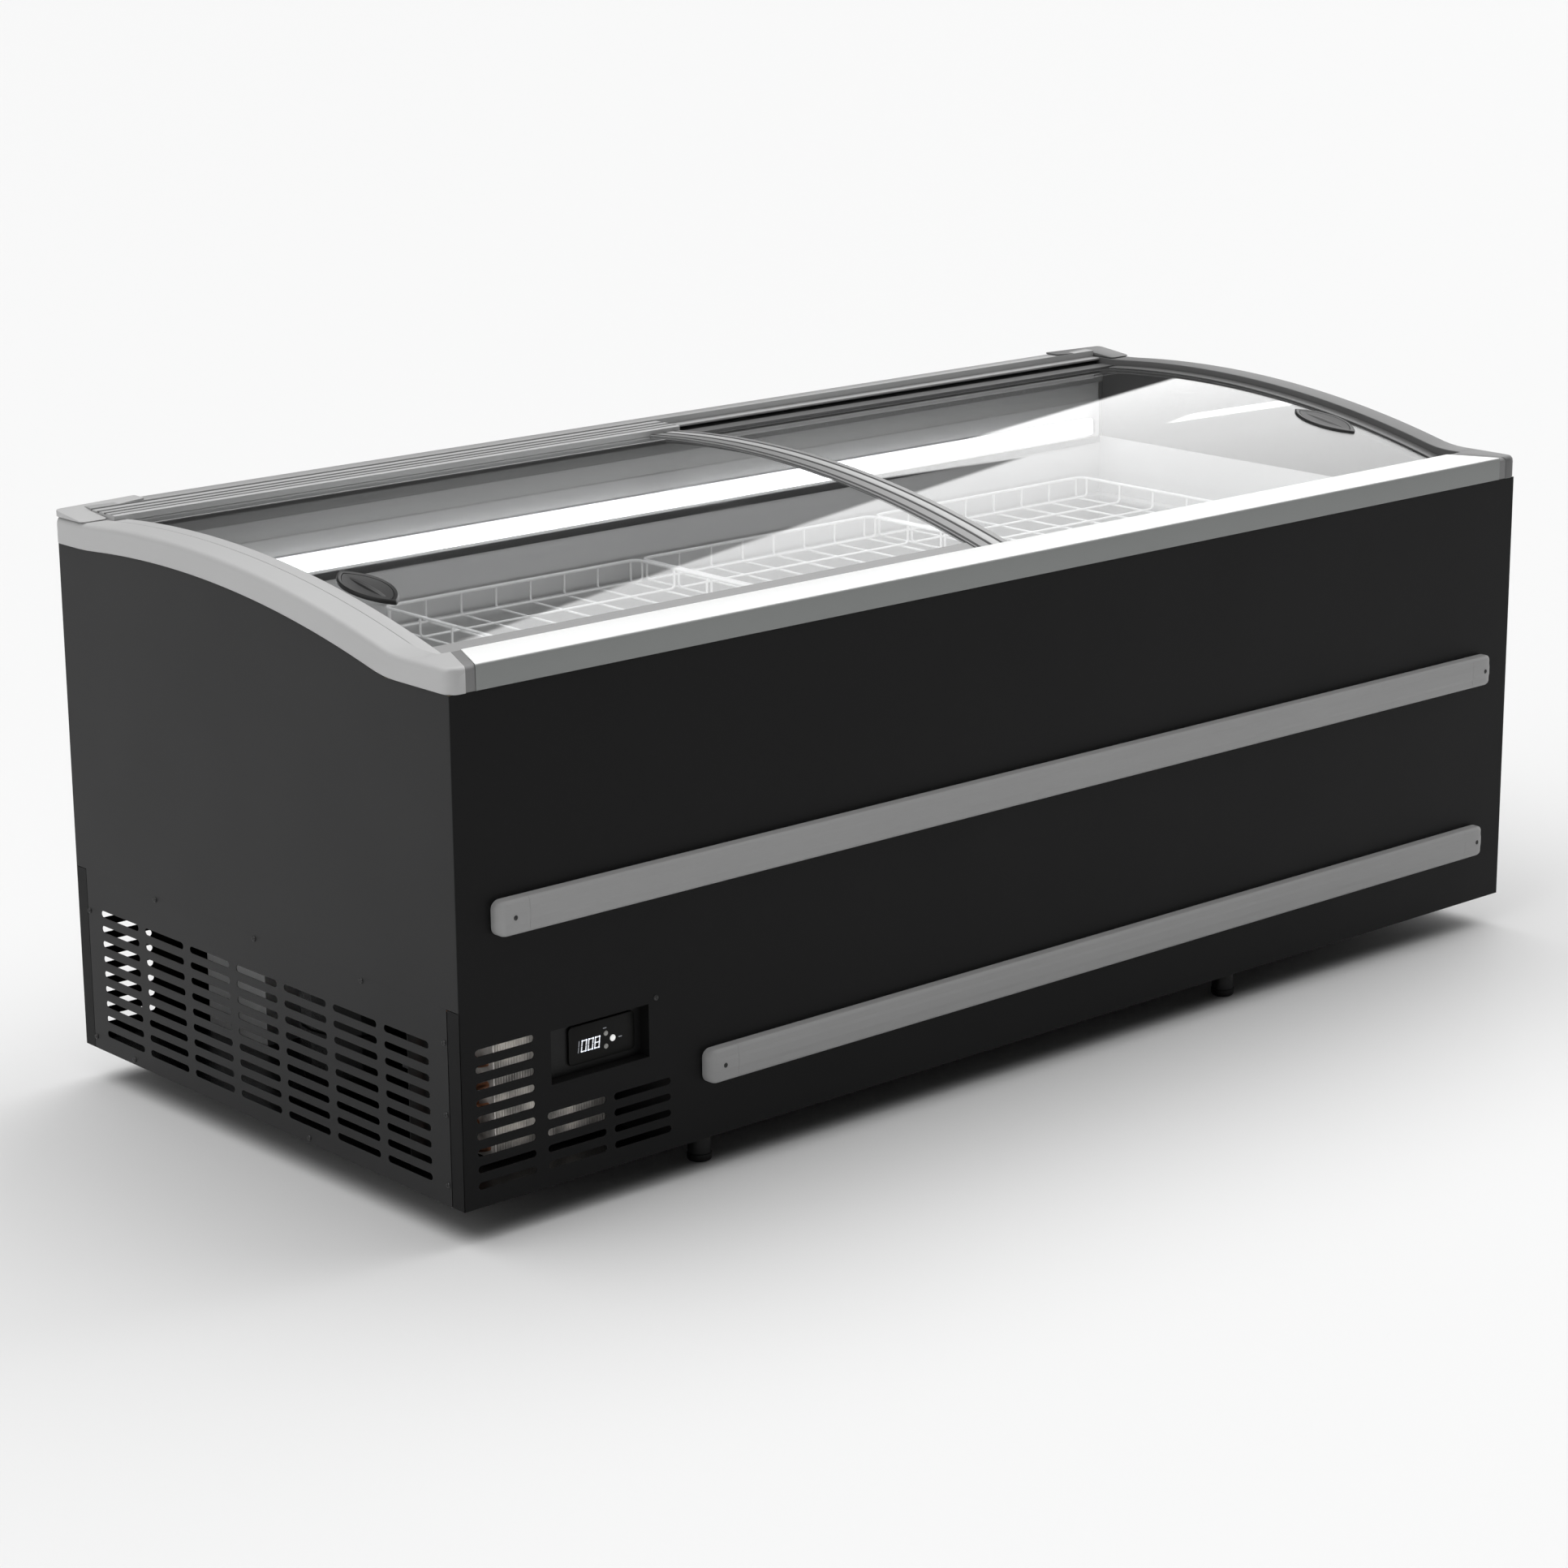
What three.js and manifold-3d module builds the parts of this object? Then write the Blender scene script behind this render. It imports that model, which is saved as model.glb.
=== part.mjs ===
// Island chest freezer with two curved sliding glass lids.
// Millimetres, +Z up. X runs along the length with the compressor end at -X, and -Y is the front.
// The origin is on the floor, under the middle of the bounding box.
import * as THREE from "three";
import { mergeVertices } from "three/addons/utils/BufferGeometryUtils.js";
import Module from "manifold-3d";

const wasm = await Module();
wasm.setup();

// ---------------------------------------------------------------- driving dimensions
const HALF_LENGTH = 1050; // outer faces of the end panels
const FRONT = -449; // outer face of the front panel
const BACK = 466; // outer face of the rear panel
const FOOT_HEIGHT = 50; // underside of the body above the floor
const SHEET = 1; // casing sheet
const GAP = 0.3; // between pieces that touch
const SEAM = 1; // between casing panels that show a joint
const WALL = 75; // insulated wall, outer face to tub face
const PROUD = 3; // how far rails and trims stand out from the casing

// Lid curve: circles about one axis along X. Radii step down from the top of the end trims.
const ARC = { y: 198, z: -1216, r: 2058 };
const TRIM_DEPTH = 37.5;
const SHELF_TOP = 774; // flat front shelf
const SHELF_BOTTOM = 739; // top edge of the front panel
const REAR_FLAT = 833.5; // top of the end trims at the back
const REAR_BOTTOM = 795; // top edge of the rear panel
const RAIL_TOP = 843;
const CAP_TOP = 846;
const TRIM_INNER = 1010; // inner face of the end trims, from the middle
const GLASS = 4;
const UPPER_DROP = 3; // upper glass below the trim curve
const LOWER_DROP = 13; // lower glass below the trim curve

// Insulated tub, stepped over the compressor compartment
const LINER = 1.5;
const TUB = { left: -975, step: -600, right: 975, front: -374, back: 391, floor: 130, shelf: 392, top: 703 };
const EVAPORATOR_GAP = 11;
const COMPARTMENT = { right: -697, top: 321 };

// Ventilation slots
const SLOT = { height: 10, rowPitch: 22.7, firstRow: 80 };
const END_SLOTS = { columns: 7, rows: 9, first: -381, pitch: 114.8, length: 98 };
const FRONT_SLOTS = [
  { start: -1026, length: 95, rows: 9 },
  { start: -911, length: 98, rows: 4 },
  { start: -799, length: 97, rows: 4 },
];
const VENT_PANEL = { front: -422, back: 441, top: 321 };

// Controller recess in the front panel
const RECESS = { left: -903, right: -737.5, bottom: 190, top: 264, depth: 18.5 };
const CONTROLLER = { left: -862, right: -750, bottom: 201, top: 255, bezel: 3.5, body: 52 };
const KEYS = {
  key_up: { x: -799.5, z: 234, r: 3.5 },
  key_set: { x: -788, z: 225, r: 4.5 },
  key_down: { x: -799.5, z: 216, r: 3.5 },
};

// Bumper rails
const BUMPER = { thick: 20, height: 48, cap: 50 };
const BUMPERS = {
  bumper_upper: { left: -995, right: 995, top: 461 },
  bumper_lower: { left: -646, right: 991, top: 179 },
};

// Feet
const FOOT = { r: 17.5, stud: 5, studLength: 22 };
const FOOT_X = [-613, 446];
const FOOT_Y = [-401, 405];

// Wire baskets
const BASKET = { first: -566, width: 489, pitch: 494, front: -361, back: 372, floor: 606, top: 645 };
const WIRE = 4;
const RIM = 6;

// Lids
const UPPER = { outer: -1009, inner: 24, innerBar: 62, front: -366, glideIn: -354, glideOut: -371, track: 750 };
const LOWER = { outer: 1009, inner: -5, innerBar: 41, front: -346, glideIn: -333, glideOut: -350.5, track: 738 };
const OUTER_BAR = 22;
const GLASS_GRIP = 12; // how far a bar holds the glass edge
const LID_BACK = 392;
const BAR_BACK = 381.7;
const HANDLE = { x: 950, y: -140, halfLength: 64, halfWidth: 32 };

// Refrigeration set in the compartment
const FAN = { x: -872, y: -262, z: 185, r: 88 };
const COMPRESSOR = { x: -872, y: 20, r: 88, top: 262 };

// ---------------------------------------------------------------- finishes
const finish = (color, roughness, metalness) => new THREE.MeshStandardMaterial({ color, roughness, metalness });
const CHARCOAL = finish(0x2b2b2b, 0.5, 0.3);
const TRIM_GREY = finish(0xb4b4b4, 0.45, 0.2);
const RAIL_GREY = finish(0x7b7f7d, 0.4, 0.7);
const BUMPER_GREY = finish(0x7e7e7e, 0.6, 0);
const DARK_PLASTIC = finish(0x303030, 0.5, 0);
const MID_GREY = finish(0x8a8a8a, 0.5, 0);
const LINER_WHITE = finish(0xf0f0f0, 0.35, 0.1);
const WIRE_WHITE = finish(0xf4f4f4, 0.4, 0);
const LAMP_WHITE = finish(0xffffff, 0.3, 0);
const GLASS_CLEAR = finish(0xdfe8e6, 0.05, 0);
const BLACK = finish(0x151515, 0.4, 0);
const STEEL = finish(0xa8a8a4, 0.4, 0.9);
const COPPER = finish(0xb0694a, 0.35, 1);
const FOAM = finish(0xe6d9a8, 0.9, 0);

// ---------------------------------------------------------------- solids
// A three.js geometry as a manifold-3d solid.
function solid(geometry) {
  const bare = geometry.clone();
  bare.deleteAttribute("normal");
  bare.deleteAttribute("uv");
  const merged = mergeVertices(bare, 1e-4);
  return new wasm.Manifold(
    new wasm.Mesh({
      numProp: 3,
      vertProperties: merged.attributes.position.array,
      triVerts: new Uint32Array(merged.index.array),
    }),
  );
}

function geometryOf(body) {
  const mesh = body.getMesh();
  const geometry = new THREE.BufferGeometry();
  geometry.setAttribute("position", new THREE.BufferAttribute(new Float32Array(mesh.vertProperties), 3));
  geometry.setIndex(new THREE.BufferAttribute(new Uint32Array(mesh.triVerts), 1));
  geometry.computeVertexNormals();
  return geometry;
}

const union = (bodies) => bodies.reduce((sum, body) => sum.add(body));
const cut = (body, tools) => tools.reduce((rest, tool) => rest.subtract(tool), body);

const freezer = new THREE.Group();

function addPart(name, shape, material, parent = freezer) {
  const geometry = shape.isBufferGeometry ? shape : geometryOf(shape);
  const mesh = new THREE.Mesh(geometry, material);
  mesh.name = name;
  parent.add(mesh);
  return mesh;
}

const block = ([x0, x1], [y0, y1], [z0, z1]) =>
  solid(
    new THREE.BoxGeometry(x1 - x0, y1 - y0, z1 - z0).translate((x0 + x1) / 2, (y0 + y1) / 2, (z0 + z1) / 2),
  );

const extrude = (shape, depth, curveSegments) =>
  new THREE.ExtrudeGeometry(shape, { depth, bevelEnabled: false, curveSegments });

// An outline drawn in (y, z), swept along X.
const TO_X = new THREE.Matrix4().makeBasis(
  new THREE.Vector3(0, 1, 0),
  new THREE.Vector3(0, 0, 1),
  new THREE.Vector3(1, 0, 0),
);
const alongX = (shape, x0, x1, segments = 6) =>
  solid(extrude(shape, x1 - x0, segments).applyMatrix4(TO_X).translate(x0, 0, 0));

// An outline drawn in (x, z), swept along Y.
const alongY = (shape, y0, y1, segments = 1) =>
  solid(extrude(shape, y1 - y0, segments).rotateX(Math.PI / 2).translate(0, y1, 0));

// An outline drawn in (x, y), swept along Z.
const alongZ = (shape, z0, z1, segments = 6) => solid(extrude(shape, z1 - z0, segments).translate(0, 0, z0));

const polygon = (points) => new THREE.Shape(points.map(([a, b]) => new THREE.Vector2(a, b)));

function disc(x, y, r) {
  const shape = new THREE.Shape();
  shape.absarc(x, y, r, 0, 2 * Math.PI, false);
  return shape;
}

// A lathe profile of [radius, height] pairs turned about Z.
const turned = (profile, segments = 16) =>
  solid(new THREE.LatheGeometry(profile.map(([r, h]) => new THREE.Vector2(r, h)), segments).rotateX(Math.PI / 2));

const mirrored = (body) => body.mirror([1, 0, 0]);
const alongAxisY = (body) => body.rotate([-90, 0, 0]);

// A round tube through points.
function tube(points, r, steps) {
  const path = new THREE.CatmullRomCurve3(points.map((p) => new THREE.Vector3(...p)), false, "catmullrom", 0.2);
  return solid(
    new THREE.ExtrudeGeometry(disc(0, 0, r), { steps, extrudePath: path, bevelEnabled: false, curveSegments: 4 }),
  );
}

// ---------------------------------------------------------------- lid curve
const arcAngle = (r, y) => Math.acos((y - ARC.y) / r);
const arcY = (r, z) => Math.sqrt(r * r - (z - ARC.z) ** 2);

// The band between two circles of the lid curve, from front to back.
function arcBand(rOuter, rInner, front, back) {
  const shape = new THREE.Shape();
  shape.absarc(ARC.y, ARC.z, rOuter, arcAngle(rOuter, front), arcAngle(rOuter, back), true);
  shape.absarc(ARC.y, ARC.z, rInner, arcAngle(rInner, back), arcAngle(rInner, front), false);
  return shape;
}

// The end profile: flat shelf, lid curve, flat back. Drop lowers the curve.
function endCurve(shape, drop, shelf, rear, front, back) {
  const r = ARC.r - drop;
  shape.moveTo(front, shelf);
  shape.lineTo(ARC.y - arcY(r, shelf), shelf);
  shape.absarc(ARC.y, ARC.z, r, arcAngle(r, ARC.y - arcY(r, shelf)), arcAngle(r, ARC.y + arcY(r, rear)), true);
  shape.lineTo(back, rear);
}

function endProfile(bottom, front, back, lower) {
  const shape = new THREE.Shape();
  endCurve(shape, TRIM_DEPTH + lower, SHELF_BOTTOM - lower, REAR_BOTTOM - lower, front, back);
  shape.lineTo(back, bottom);
  shape.lineTo(front, bottom);
  return shape;
}

// ---------------------------------------------------------------- casing
function slotHole(start, z, length) {
  const r = SLOT.height / 2;
  const hole = new THREE.Path();
  hole.absarc(start + r, z, r, Math.PI / 2, 1.5 * Math.PI, false);
  hole.absarc(start + length - r, z, r, -Math.PI / 2, Math.PI / 2, false);
  return hole;
}

function slotColumn(shape, start, length, rows) {
  for (let row = 0; row < rows; row += 1) {
    shape.holes.push(slotHole(start, SLOT.firstRow + row * SLOT.rowPitch, length));
  }
}

const rectangle = (x0, x1, z0, z1) => polygon([[x0, z0], [x1, z0], [x1, z1], [x0, z1]]);
const BOTTOM = FOOT_HEIGHT + GAP;

function frontPanel() {
  const sheet = rectangle(-HALF_LENGTH, HALF_LENGTH, BOTTOM, SHELF_BOTTOM);
  FRONT_SLOTS.forEach(({ start, length, rows }) => slotColumn(sheet, start, length, rows));
  sheet.holes.push(rectangle(RECESS.left, RECESS.right, RECESS.bottom, RECESS.top));
  const flange = block(
    [-HALF_LENGTH, -HALF_LENGTH + SHEET],
    [FRONT, VENT_PANEL.front - SEAM],
    [BOTTOM, VENT_PANEL.top - SEAM],
  );
  return alongY(sheet, FRONT, FRONT + SHEET).add(flange);
}

function rearPanel() {
  const sheet = rectangle(-HALF_LENGTH, HALF_LENGTH, BOTTOM, REAR_BOTTOM);
  FRONT_SLOTS.forEach(({ start, length }) => slotColumn(sheet, start, length, FRONT_SLOTS[0].rows));
  const flange = block(
    [-HALF_LENGTH, -HALF_LENGTH + SHEET],
    [VENT_PANEL.back + SEAM, BACK],
    [BOTTOM, VENT_PANEL.top - SEAM],
  );
  return alongY(sheet, BACK - SHEET, BACK).add(flange);
}

function ventPanel() {
  const sheet = rectangle(VENT_PANEL.front, VENT_PANEL.back, BOTTOM, VENT_PANEL.top - SEAM);
  for (let column = 0; column < END_SLOTS.columns; column += 1) {
    slotColumn(sheet, END_SLOTS.first + column * END_SLOTS.pitch, END_SLOTS.length, END_SLOTS.rows);
  }
  return alongX(sheet, -HALF_LENGTH, -HALF_LENGTH + SHEET, 1);
}

const inner = SHEET + GAP;
const endPanel = (bottom) => endProfile(bottom, FRONT + inner, BACK - inner, GAP);

function footHoles(r, bottom, top) {
  return FOOT_X.flatMap((x) => FOOT_Y.map((y) => alongZ(disc(x, y, r), bottom, top, 3)));
}

function basePan() {
  const pan = block(
    [-HALF_LENGTH + inner, HALF_LENGTH - inner],
    [FRONT + inner, BACK - inner],
    [FOOT_HEIGHT, FOOT_HEIGHT + 2],
  );
  return cut(pan, footHoles(FOOT.stud + 1.5, FOOT_HEIGHT - 1, FOOT_HEIGHT + 3));
}

addPart("base_pan", basePan(), CHARCOAL);
addPart("front_panel", frontPanel(), CHARCOAL);
addPart("rear_panel", rearPanel(), CHARCOAL);
addPart("left_vent_panel", ventPanel(), CHARCOAL);
addPart("left_end_panel", alongX(endPanel(VENT_PANEL.top), -HALF_LENGTH, -HALF_LENGTH + SHEET), CHARCOAL);
addPart("right_end_panel", alongX(endPanel(BOTTOM), HALF_LENGTH - SHEET, HALF_LENGTH), CHARCOAL);

// ---------------------------------------------------------------- tub and insulation
function tubBody(offset, top) {
  const outline = polygon([
    [TUB.left - offset, TUB.shelf - offset],
    [TUB.step - offset, TUB.shelf - offset],
    [TUB.step - offset, TUB.floor - offset],
    [TUB.right + offset, TUB.floor - offset],
    [TUB.right + offset, top],
    [TUB.left - offset, top],
  ]);
  return alongY(outline, TUB.front - offset, TUB.back + offset);
}

const RAIL_LEG = 4; // width of the front rail's leg behind the tub face
const BREAKER = 6;

function foamInsulation() {
  const clear = inner + 0.1;
  const outer = endProfile(FOOT_HEIGHT + 2 + GAP, FRONT + clear, BACK - clear, GAP + 0.1);
  const high = CAP_TOP;
  const throatFront = TUB.front - RAIL_LEG - GAP;
  return cut(alongX(outer, -HALF_LENGTH + clear, HALF_LENGTH - clear), [
    tubBody(LINER + EVAPORATOR_GAP, high),
    block([-988, 988], [throatFront, TUB.back + BREAKER + GAP], [TUB.top, high]),
    block([-TRIM_INNER, TRIM_INNER], [throatFront, -328.5], [TUB.top, high]),
    block([-HALF_LENGTH, COMPARTMENT.right + SHEET + GAP], [FRONT, BACK], [FOOT_HEIGHT, COMPARTMENT.top + inner]),
    ...footHoles(FOOT.stud + 2, FOOT_HEIGHT, FOOT_HEIGHT + FOOT.studLength + 2),
  ]);
}

function bulkhead() {
  const y = [FRONT + inner + 0.1, BACK - inner - 0.1];
  const wall = block([COMPARTMENT.right, COMPARTMENT.right + SHEET], y, [FOOT_HEIGHT + 2.3, COMPARTMENT.top + SHEET]);
  const roof = block([-HALF_LENGTH + inner, COMPARTMENT.right + SHEET], y, [COMPARTMENT.top, COMPARTMENT.top + SHEET]);
  return wall.add(roof);
}

// The cold coil is a flattened tube, wound round the outside of the tub in the gap to the foam.
function evaporatorCoil() {
  const [near, far] = [LINER + 1.5, LINER + EVAPORATOR_GAP - 1.5];
  const TURNS = 5;
  const RISE = 48;
  const loop = (z) =>
    block([TUB.left - far, TUB.right + far], [TUB.front - far, TUB.back + far], [z, z + 8]).subtract(
      block([TUB.left - near, TUB.right + near], [TUB.front - near, TUB.back + near], [z - 1, z + 9]),
    );
  const tubes = [];
  for (let turn = 0; turn < TURNS; turn += 1) {
    const z = 430 + turn * RISE;
    tubes.push(loop(z));
    const x = TUB.left + 100 + (turn % 2) * 60;
    if (turn > 0) tubes.push(block([x, x + 8], [TUB.back + near, TUB.back + far], [z - RISE + 4, z + 4]));
  }
  return union(tubes);
}

addPart("inner_liner", tubBody(LINER, TUB.top).subtract(tubBody(0, CAP_TOP)), LINER_WHITE);
addPart("foam_insulation", foamInsulation(), FOAM);
addPart("compartment_bulkhead", bulkhead(), STEEL);
addPart("evaporator_coil", evaporatorCoil(), COPPER);

// ---------------------------------------------------------------- rails, trims and breaker strips
function frontRail() {
  const out = FRONT - PROUD;
  const r = 8;
  const shape = new THREE.Shape();
  shape.moveTo(out, SHELF_BOTTOM + GAP);
  shape.lineTo(TUB.front - RAIL_LEG, SHELF_BOTTOM + GAP);
  shape.lineTo(TUB.front - RAIL_LEG, TUB.top + GAP);
  shape.lineTo(TUB.front, TUB.top + GAP);
  shape.lineTo(-329, LOWER.track - 8);
  shape.lineTo(-329, LOWER.track);
  shape.lineTo(-352, LOWER.track);
  shape.lineTo(-352, UPPER.track);
  shape.lineTo(-373.5, UPPER.track);
  shape.lineTo(-373.5, SHELF_TOP);
  shape.lineTo(out + r, SHELF_TOP);
  shape.absarc(out + r, SHELF_TOP - r, r, Math.PI / 2, Math.PI, false);
  const rail = alongX(shape, -TRIM_INNER + GAP, TRIM_INNER - GAP, 2);
  const seat = trimCorner(GAP, SHELF_BOTTOM);
  return cut(rail, [seat, mirrored(seat)]);
}

// The wedge of each end trim that takes the front shelf round the corner, grown by a clearance.
function trimCorner(clearance, bottom) {
  const plan = polygon([
    [TRIM_INNER + 2, FRONT - PROUD - clearance],
    [TRIM_INNER - clearance, FRONT - PROUD - clearance],
    [TRIM_INNER - 36 - clearance, -373.8 + clearance],
    [TRIM_INNER + 2, -373.8 + clearance],
  ]);
  return alongZ(plan, bottom, SHELF_TOP + clearance);
}

// Two tracks: the shelf under the lip for the upper lid, the channel below it for the lower lid.
const CHANNEL = { floor: 812, back: 452, rib: 426, ribBottom: 828, ribTop: 832, lip: 441.5, ledge: 385 };

function rearRail() {
  const out = BACK + PROUD;
  const outline = polygon([
    [out, REAR_BOTTOM + GAP],
    [out, RAIL_TOP - 4],
    [out - 4, RAIL_TOP],
    [CHANNEL.lip, RAIL_TOP],
    [CHANNEL.lip, CHANNEL.ribTop],
    [CHANNEL.rib, CHANNEL.ribTop],
    [CHANNEL.rib, CHANNEL.ribBottom],
    [CHANNEL.back, CHANNEL.ribBottom],
    [CHANNEL.back, CHANNEL.floor],
    [CHANNEL.ledge, CHANNEL.floor],
    [CHANNEL.ledge, CHANNEL.floor - 13],
    [TUB.back, CHANNEL.floor - 13],
    [TUB.back, REAR_BOTTOM + GAP],
  ]);
  return alongX(outline, -TRIM_INNER + GAP, TRIM_INNER - GAP);
}

function endTrim() {
  const front = FRONT - PROUD;
  const back = BACK + PROUD;
  const shape = new THREE.Shape();
  endCurve(shape, 0, SHELF_TOP, REAR_FLAT, front, back);
  const r = ARC.r - TRIM_DEPTH;
  shape.lineTo(back, REAR_BOTTOM);
  shape.lineTo(ARC.y + arcY(r, REAR_BOTTOM), REAR_BOTTOM);
  shape.absarc(
    ARC.y,
    ARC.z,
    r,
    arcAngle(r, ARC.y + arcY(r, REAR_BOTTOM)),
    arcAngle(r, ARC.y - arcY(r, SHELF_BOTTOM)),
    false,
  );
  shape.lineTo(front, SHELF_BOTTOM);
  return shape;
}

function rearCorner() {
  const out = HALF_LENGTH + PROUD;
  const seat = block([TRIM_INNER, out], [395, BACK + PROUD], [REAR_FLAT + GAP, CAP_TOP]);
  const tongue = block([920, TRIM_INNER + 5], [CHANNEL.lip + 0.5, BACK + PROUD], [RAIL_TOP + GAP, CAP_TOP]);
  return seat.add(tongue);
}

// Insulating strips that close the wall between the tub and the rails.
function endBreaker() {
  const shape = new THREE.Shape();
  const r = ARC.r - 22;
  const front = -328.4;
  const back = 384.4;
  shape.absarc(ARC.y, ARC.z, r, arcAngle(r, front), arcAngle(r, back), true);
  shape.lineTo(back, TUB.top + GAP);
  shape.lineTo(front, TUB.top + GAP);
  return shape;
}

const trimRight = alongX(endTrim(), TRIM_INNER, HALF_LENGTH + PROUD).add(
  trimCorner(0, SHELF_BOTTOM + GAP),
);
const breakerRight = alongX(endBreaker(), TUB.right, TUB.right + 12);

addPart("front_rail", frontRail(), RAIL_GREY);
addPart("rear_rail", rearRail(), RAIL_GREY);
addPart("end_trim_right", trimRight, TRIM_GREY);
addPart("end_trim_left", mirrored(trimRight), TRIM_GREY);
addPart("rear_corner_right", rearCorner(), TRIM_GREY);
addPart("rear_corner_left", mirrored(rearCorner()), TRIM_GREY);
addPart("breaker_right", breakerRight, DARK_PLASTIC);
addPart("breaker_left", mirrored(breakerRight), DARK_PLASTIC);
addPart(
  "breaker_rear",
  block([-974.7, 974.7], [TUB.back, TUB.back + BREAKER], [TUB.top + GAP, REAR_BOTTOM]),
  MID_GREY,
);
addPart("led_lamp", block([-950, 950], [TUB.back - 14, TUB.back - GAP], [709, 738]), LAMP_WHITE);

// ---------------------------------------------------------------- baskets
// A ledge on three walls of the tub carries the baskets.
function basketLedge() {
  const depth = 22;
  const left = -590;
  const right = TUB.right - GAP;
  const front = TUB.front + GAP;
  const back = TUB.back - GAP;
  const outline = polygon([
    [left, front],
    [right, front],
    [right, back],
    [left, back],
    [left, back - depth],
    [right - depth, back - depth],
    [right - depth, front + depth],
    [left, front + depth],
  ]);
  return alongZ(outline, BASKET.floor - 6, BASKET.floor - 0.4);
}

function basket(left) {
  const right = left + BASKET.width;
  const { front, back, floor, top } = BASKET;
  const COLUMNS = 3;
  const ROWS = 5;
  const columnX = (i) => left + (i * (BASKET.width - WIRE)) / COLUMNS;
  const rowY = (j) => front + (j * (back - front - WIRE)) / ROWS;
  const base = [floor, floor + WIRE];
  const high = [floor + 1, top - 1];
  const wires = [];
  for (let i = 0; i <= COLUMNS; i += 1) {
    const x = [columnX(i), columnX(i) + WIRE];
    wires.push(block(x, [front, back], base));
    wires.push(block(x, [front, front + WIRE], high), block(x, [back - WIRE, back], high));
  }
  for (let j = 0; j <= ROWS; j += 1) {
    const y = [rowY(j), rowY(j) + WIRE];
    wires.push(block([left, right], y, base));
    wires.push(block([left, left + WIRE], y, high), block([right - WIRE, right], y, high));
  }
  const rim = block([left - 1, right + 1], [front - 1, back + 1], [top - RIM, top]).subtract(
    block([left + RIM - 1, right - RIM + 1], [front + RIM - 1, back - RIM + 1], [top - RIM - 1, top + 1]),
  );
  return union([rim, ...wires]);
}

addPart("basket_ledge", basketLedge(), LINER_WHITE);
for (let i = 0; i < 3; i += 1) {
  addPart(`basket_${i + 1}`, basket(BASKET.first + i * BASKET.pitch), WIRE_WHITE);
}

// ---------------------------------------------------------------- lids
// One lid: glass, two end bars, a front glide, a rear frame and a handle.
function addLid(name, lid, drop, rearFrame, handleHeight, handleSide) {
  const rOut = ARC.r - drop;
  const rIn = rOut - GLASS;
  const side = Math.sign(lid.outer);
  const span = (a, b) => [Math.min(a, b), Math.max(a, b)];
  const slot = (x0, x1) => alongX(arcBand(rOut + GAP, rIn - GAP, lid.front - GAP, LID_BACK + GAP), x0, x1);
  const [left, right] = span(lid.outer, lid.inner);
  const glassOuter = lid.outer - side * (OUTER_BAR - GLASS_GRIP);
  const glassInner = lid.inner + side * (lid.innerBar - GLASS_GRIP);
  const [glassLeft, glassRight] = span(glassOuter, glassInner);
  const pocket = slot(glassLeft - GAP, glassRight + GAP);
  const above = 2.5;

  addPart(`${name}_glass`, alongX(arcBand(rOut, rIn, lid.front, LID_BACK), glassLeft, glassRight), GLASS_CLEAR);

  const bar = (x0, x1) =>
    alongX(arcBand(rOut + above, rIn - above, lid.glideIn + GAP, BAR_BACK), ...span(x0, x1)).subtract(pocket);
  addPart(`${name}_outer_bar`, bar(lid.outer, lid.outer - side * OUTER_BAR), RAIL_GREY);
  addPart(`${name}_inner_bar`, bar(lid.inner, lid.inner + side * lid.innerBar), RAIL_GREY);

  const top = (y) => ARC.z + Math.sqrt((rOut + above) ** 2 - (y - ARC.y) ** 2);
  const glide = polygon([
    [lid.glideOut, lid.track + 0.6],
    [lid.glideIn, lid.track + 0.6],
    [lid.glideIn, top(lid.glideIn)],
    [lid.glideOut, top(lid.glideOut)],
  ]);
  addPart(`${name}_front_glide`, alongX(glide, left, right).subtract(pocket), DARK_PLASTIC);
  addPart(`${name}_rear_frame`, alongX(polygon(rearFrame), left, right).subtract(pocket), RAIL_GREY);
  addPart(`${name}_handle`, handle(rOut, handleHeight, handleSide), BLACK);
}

// A pointed oval grip that follows the glass, with a shallow dish for the fingers.
function handle(rGlass, height, side) {
  const { x, y, halfLength, halfWidth } = HANDLE;
  const r = (halfLength ** 2 + halfWidth ** 2) / (2 * halfWidth);
  const sweep = Math.asin(halfLength / r);
  const outline = new THREE.Shape();
  outline.absarc(side * x - r + halfWidth, y, r, -sweep, sweep, false);
  outline.absarc(side * x + r - halfWidth, y, r, Math.PI - sweep, Math.PI + sweep, false);
  const sheet = arcBand(rGlass + height, rGlass + GAP, y - halfLength - 5, y + halfLength + 5);
  const pad = alongZ(outline, 700, 900, 3).intersect(alongX(sheet, side * x - 40, side * x + 40, 3));
  const tilt = Math.asin((ARC.y - y) / rGlass);
  const dish = new THREE.SphereGeometry(1, 12, 8).scale(halfWidth * 0.7, halfLength * 0.7, 2);
  dish.rotateX(tilt).translate(side * x, y, ARC.z + (rGlass + height) * Math.cos(tilt));
  return pad.subtract(solid(dish));
}

const upperFrame = [
  [382, 824.6],
  [392.6, 824.6],
  [392.6, CHANNEL.ribTop + 0.6],
  [440, CHANNEL.ribTop + 0.6],
  [440, 841],
  [384, 841],
  [382, 839],
];
const lowerFrame = [
  [382, CHANNEL.floor + 0.6],
  [446, CHANNEL.floor + 0.6],
  [446, 823],
  [382, 823],
];
addLid("lid_left", UPPER, UPPER_DROP, upperFrame, 6, -1);
addLid("lid_right", LOWER, LOWER_DROP, lowerFrame, 3, 1);

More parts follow.
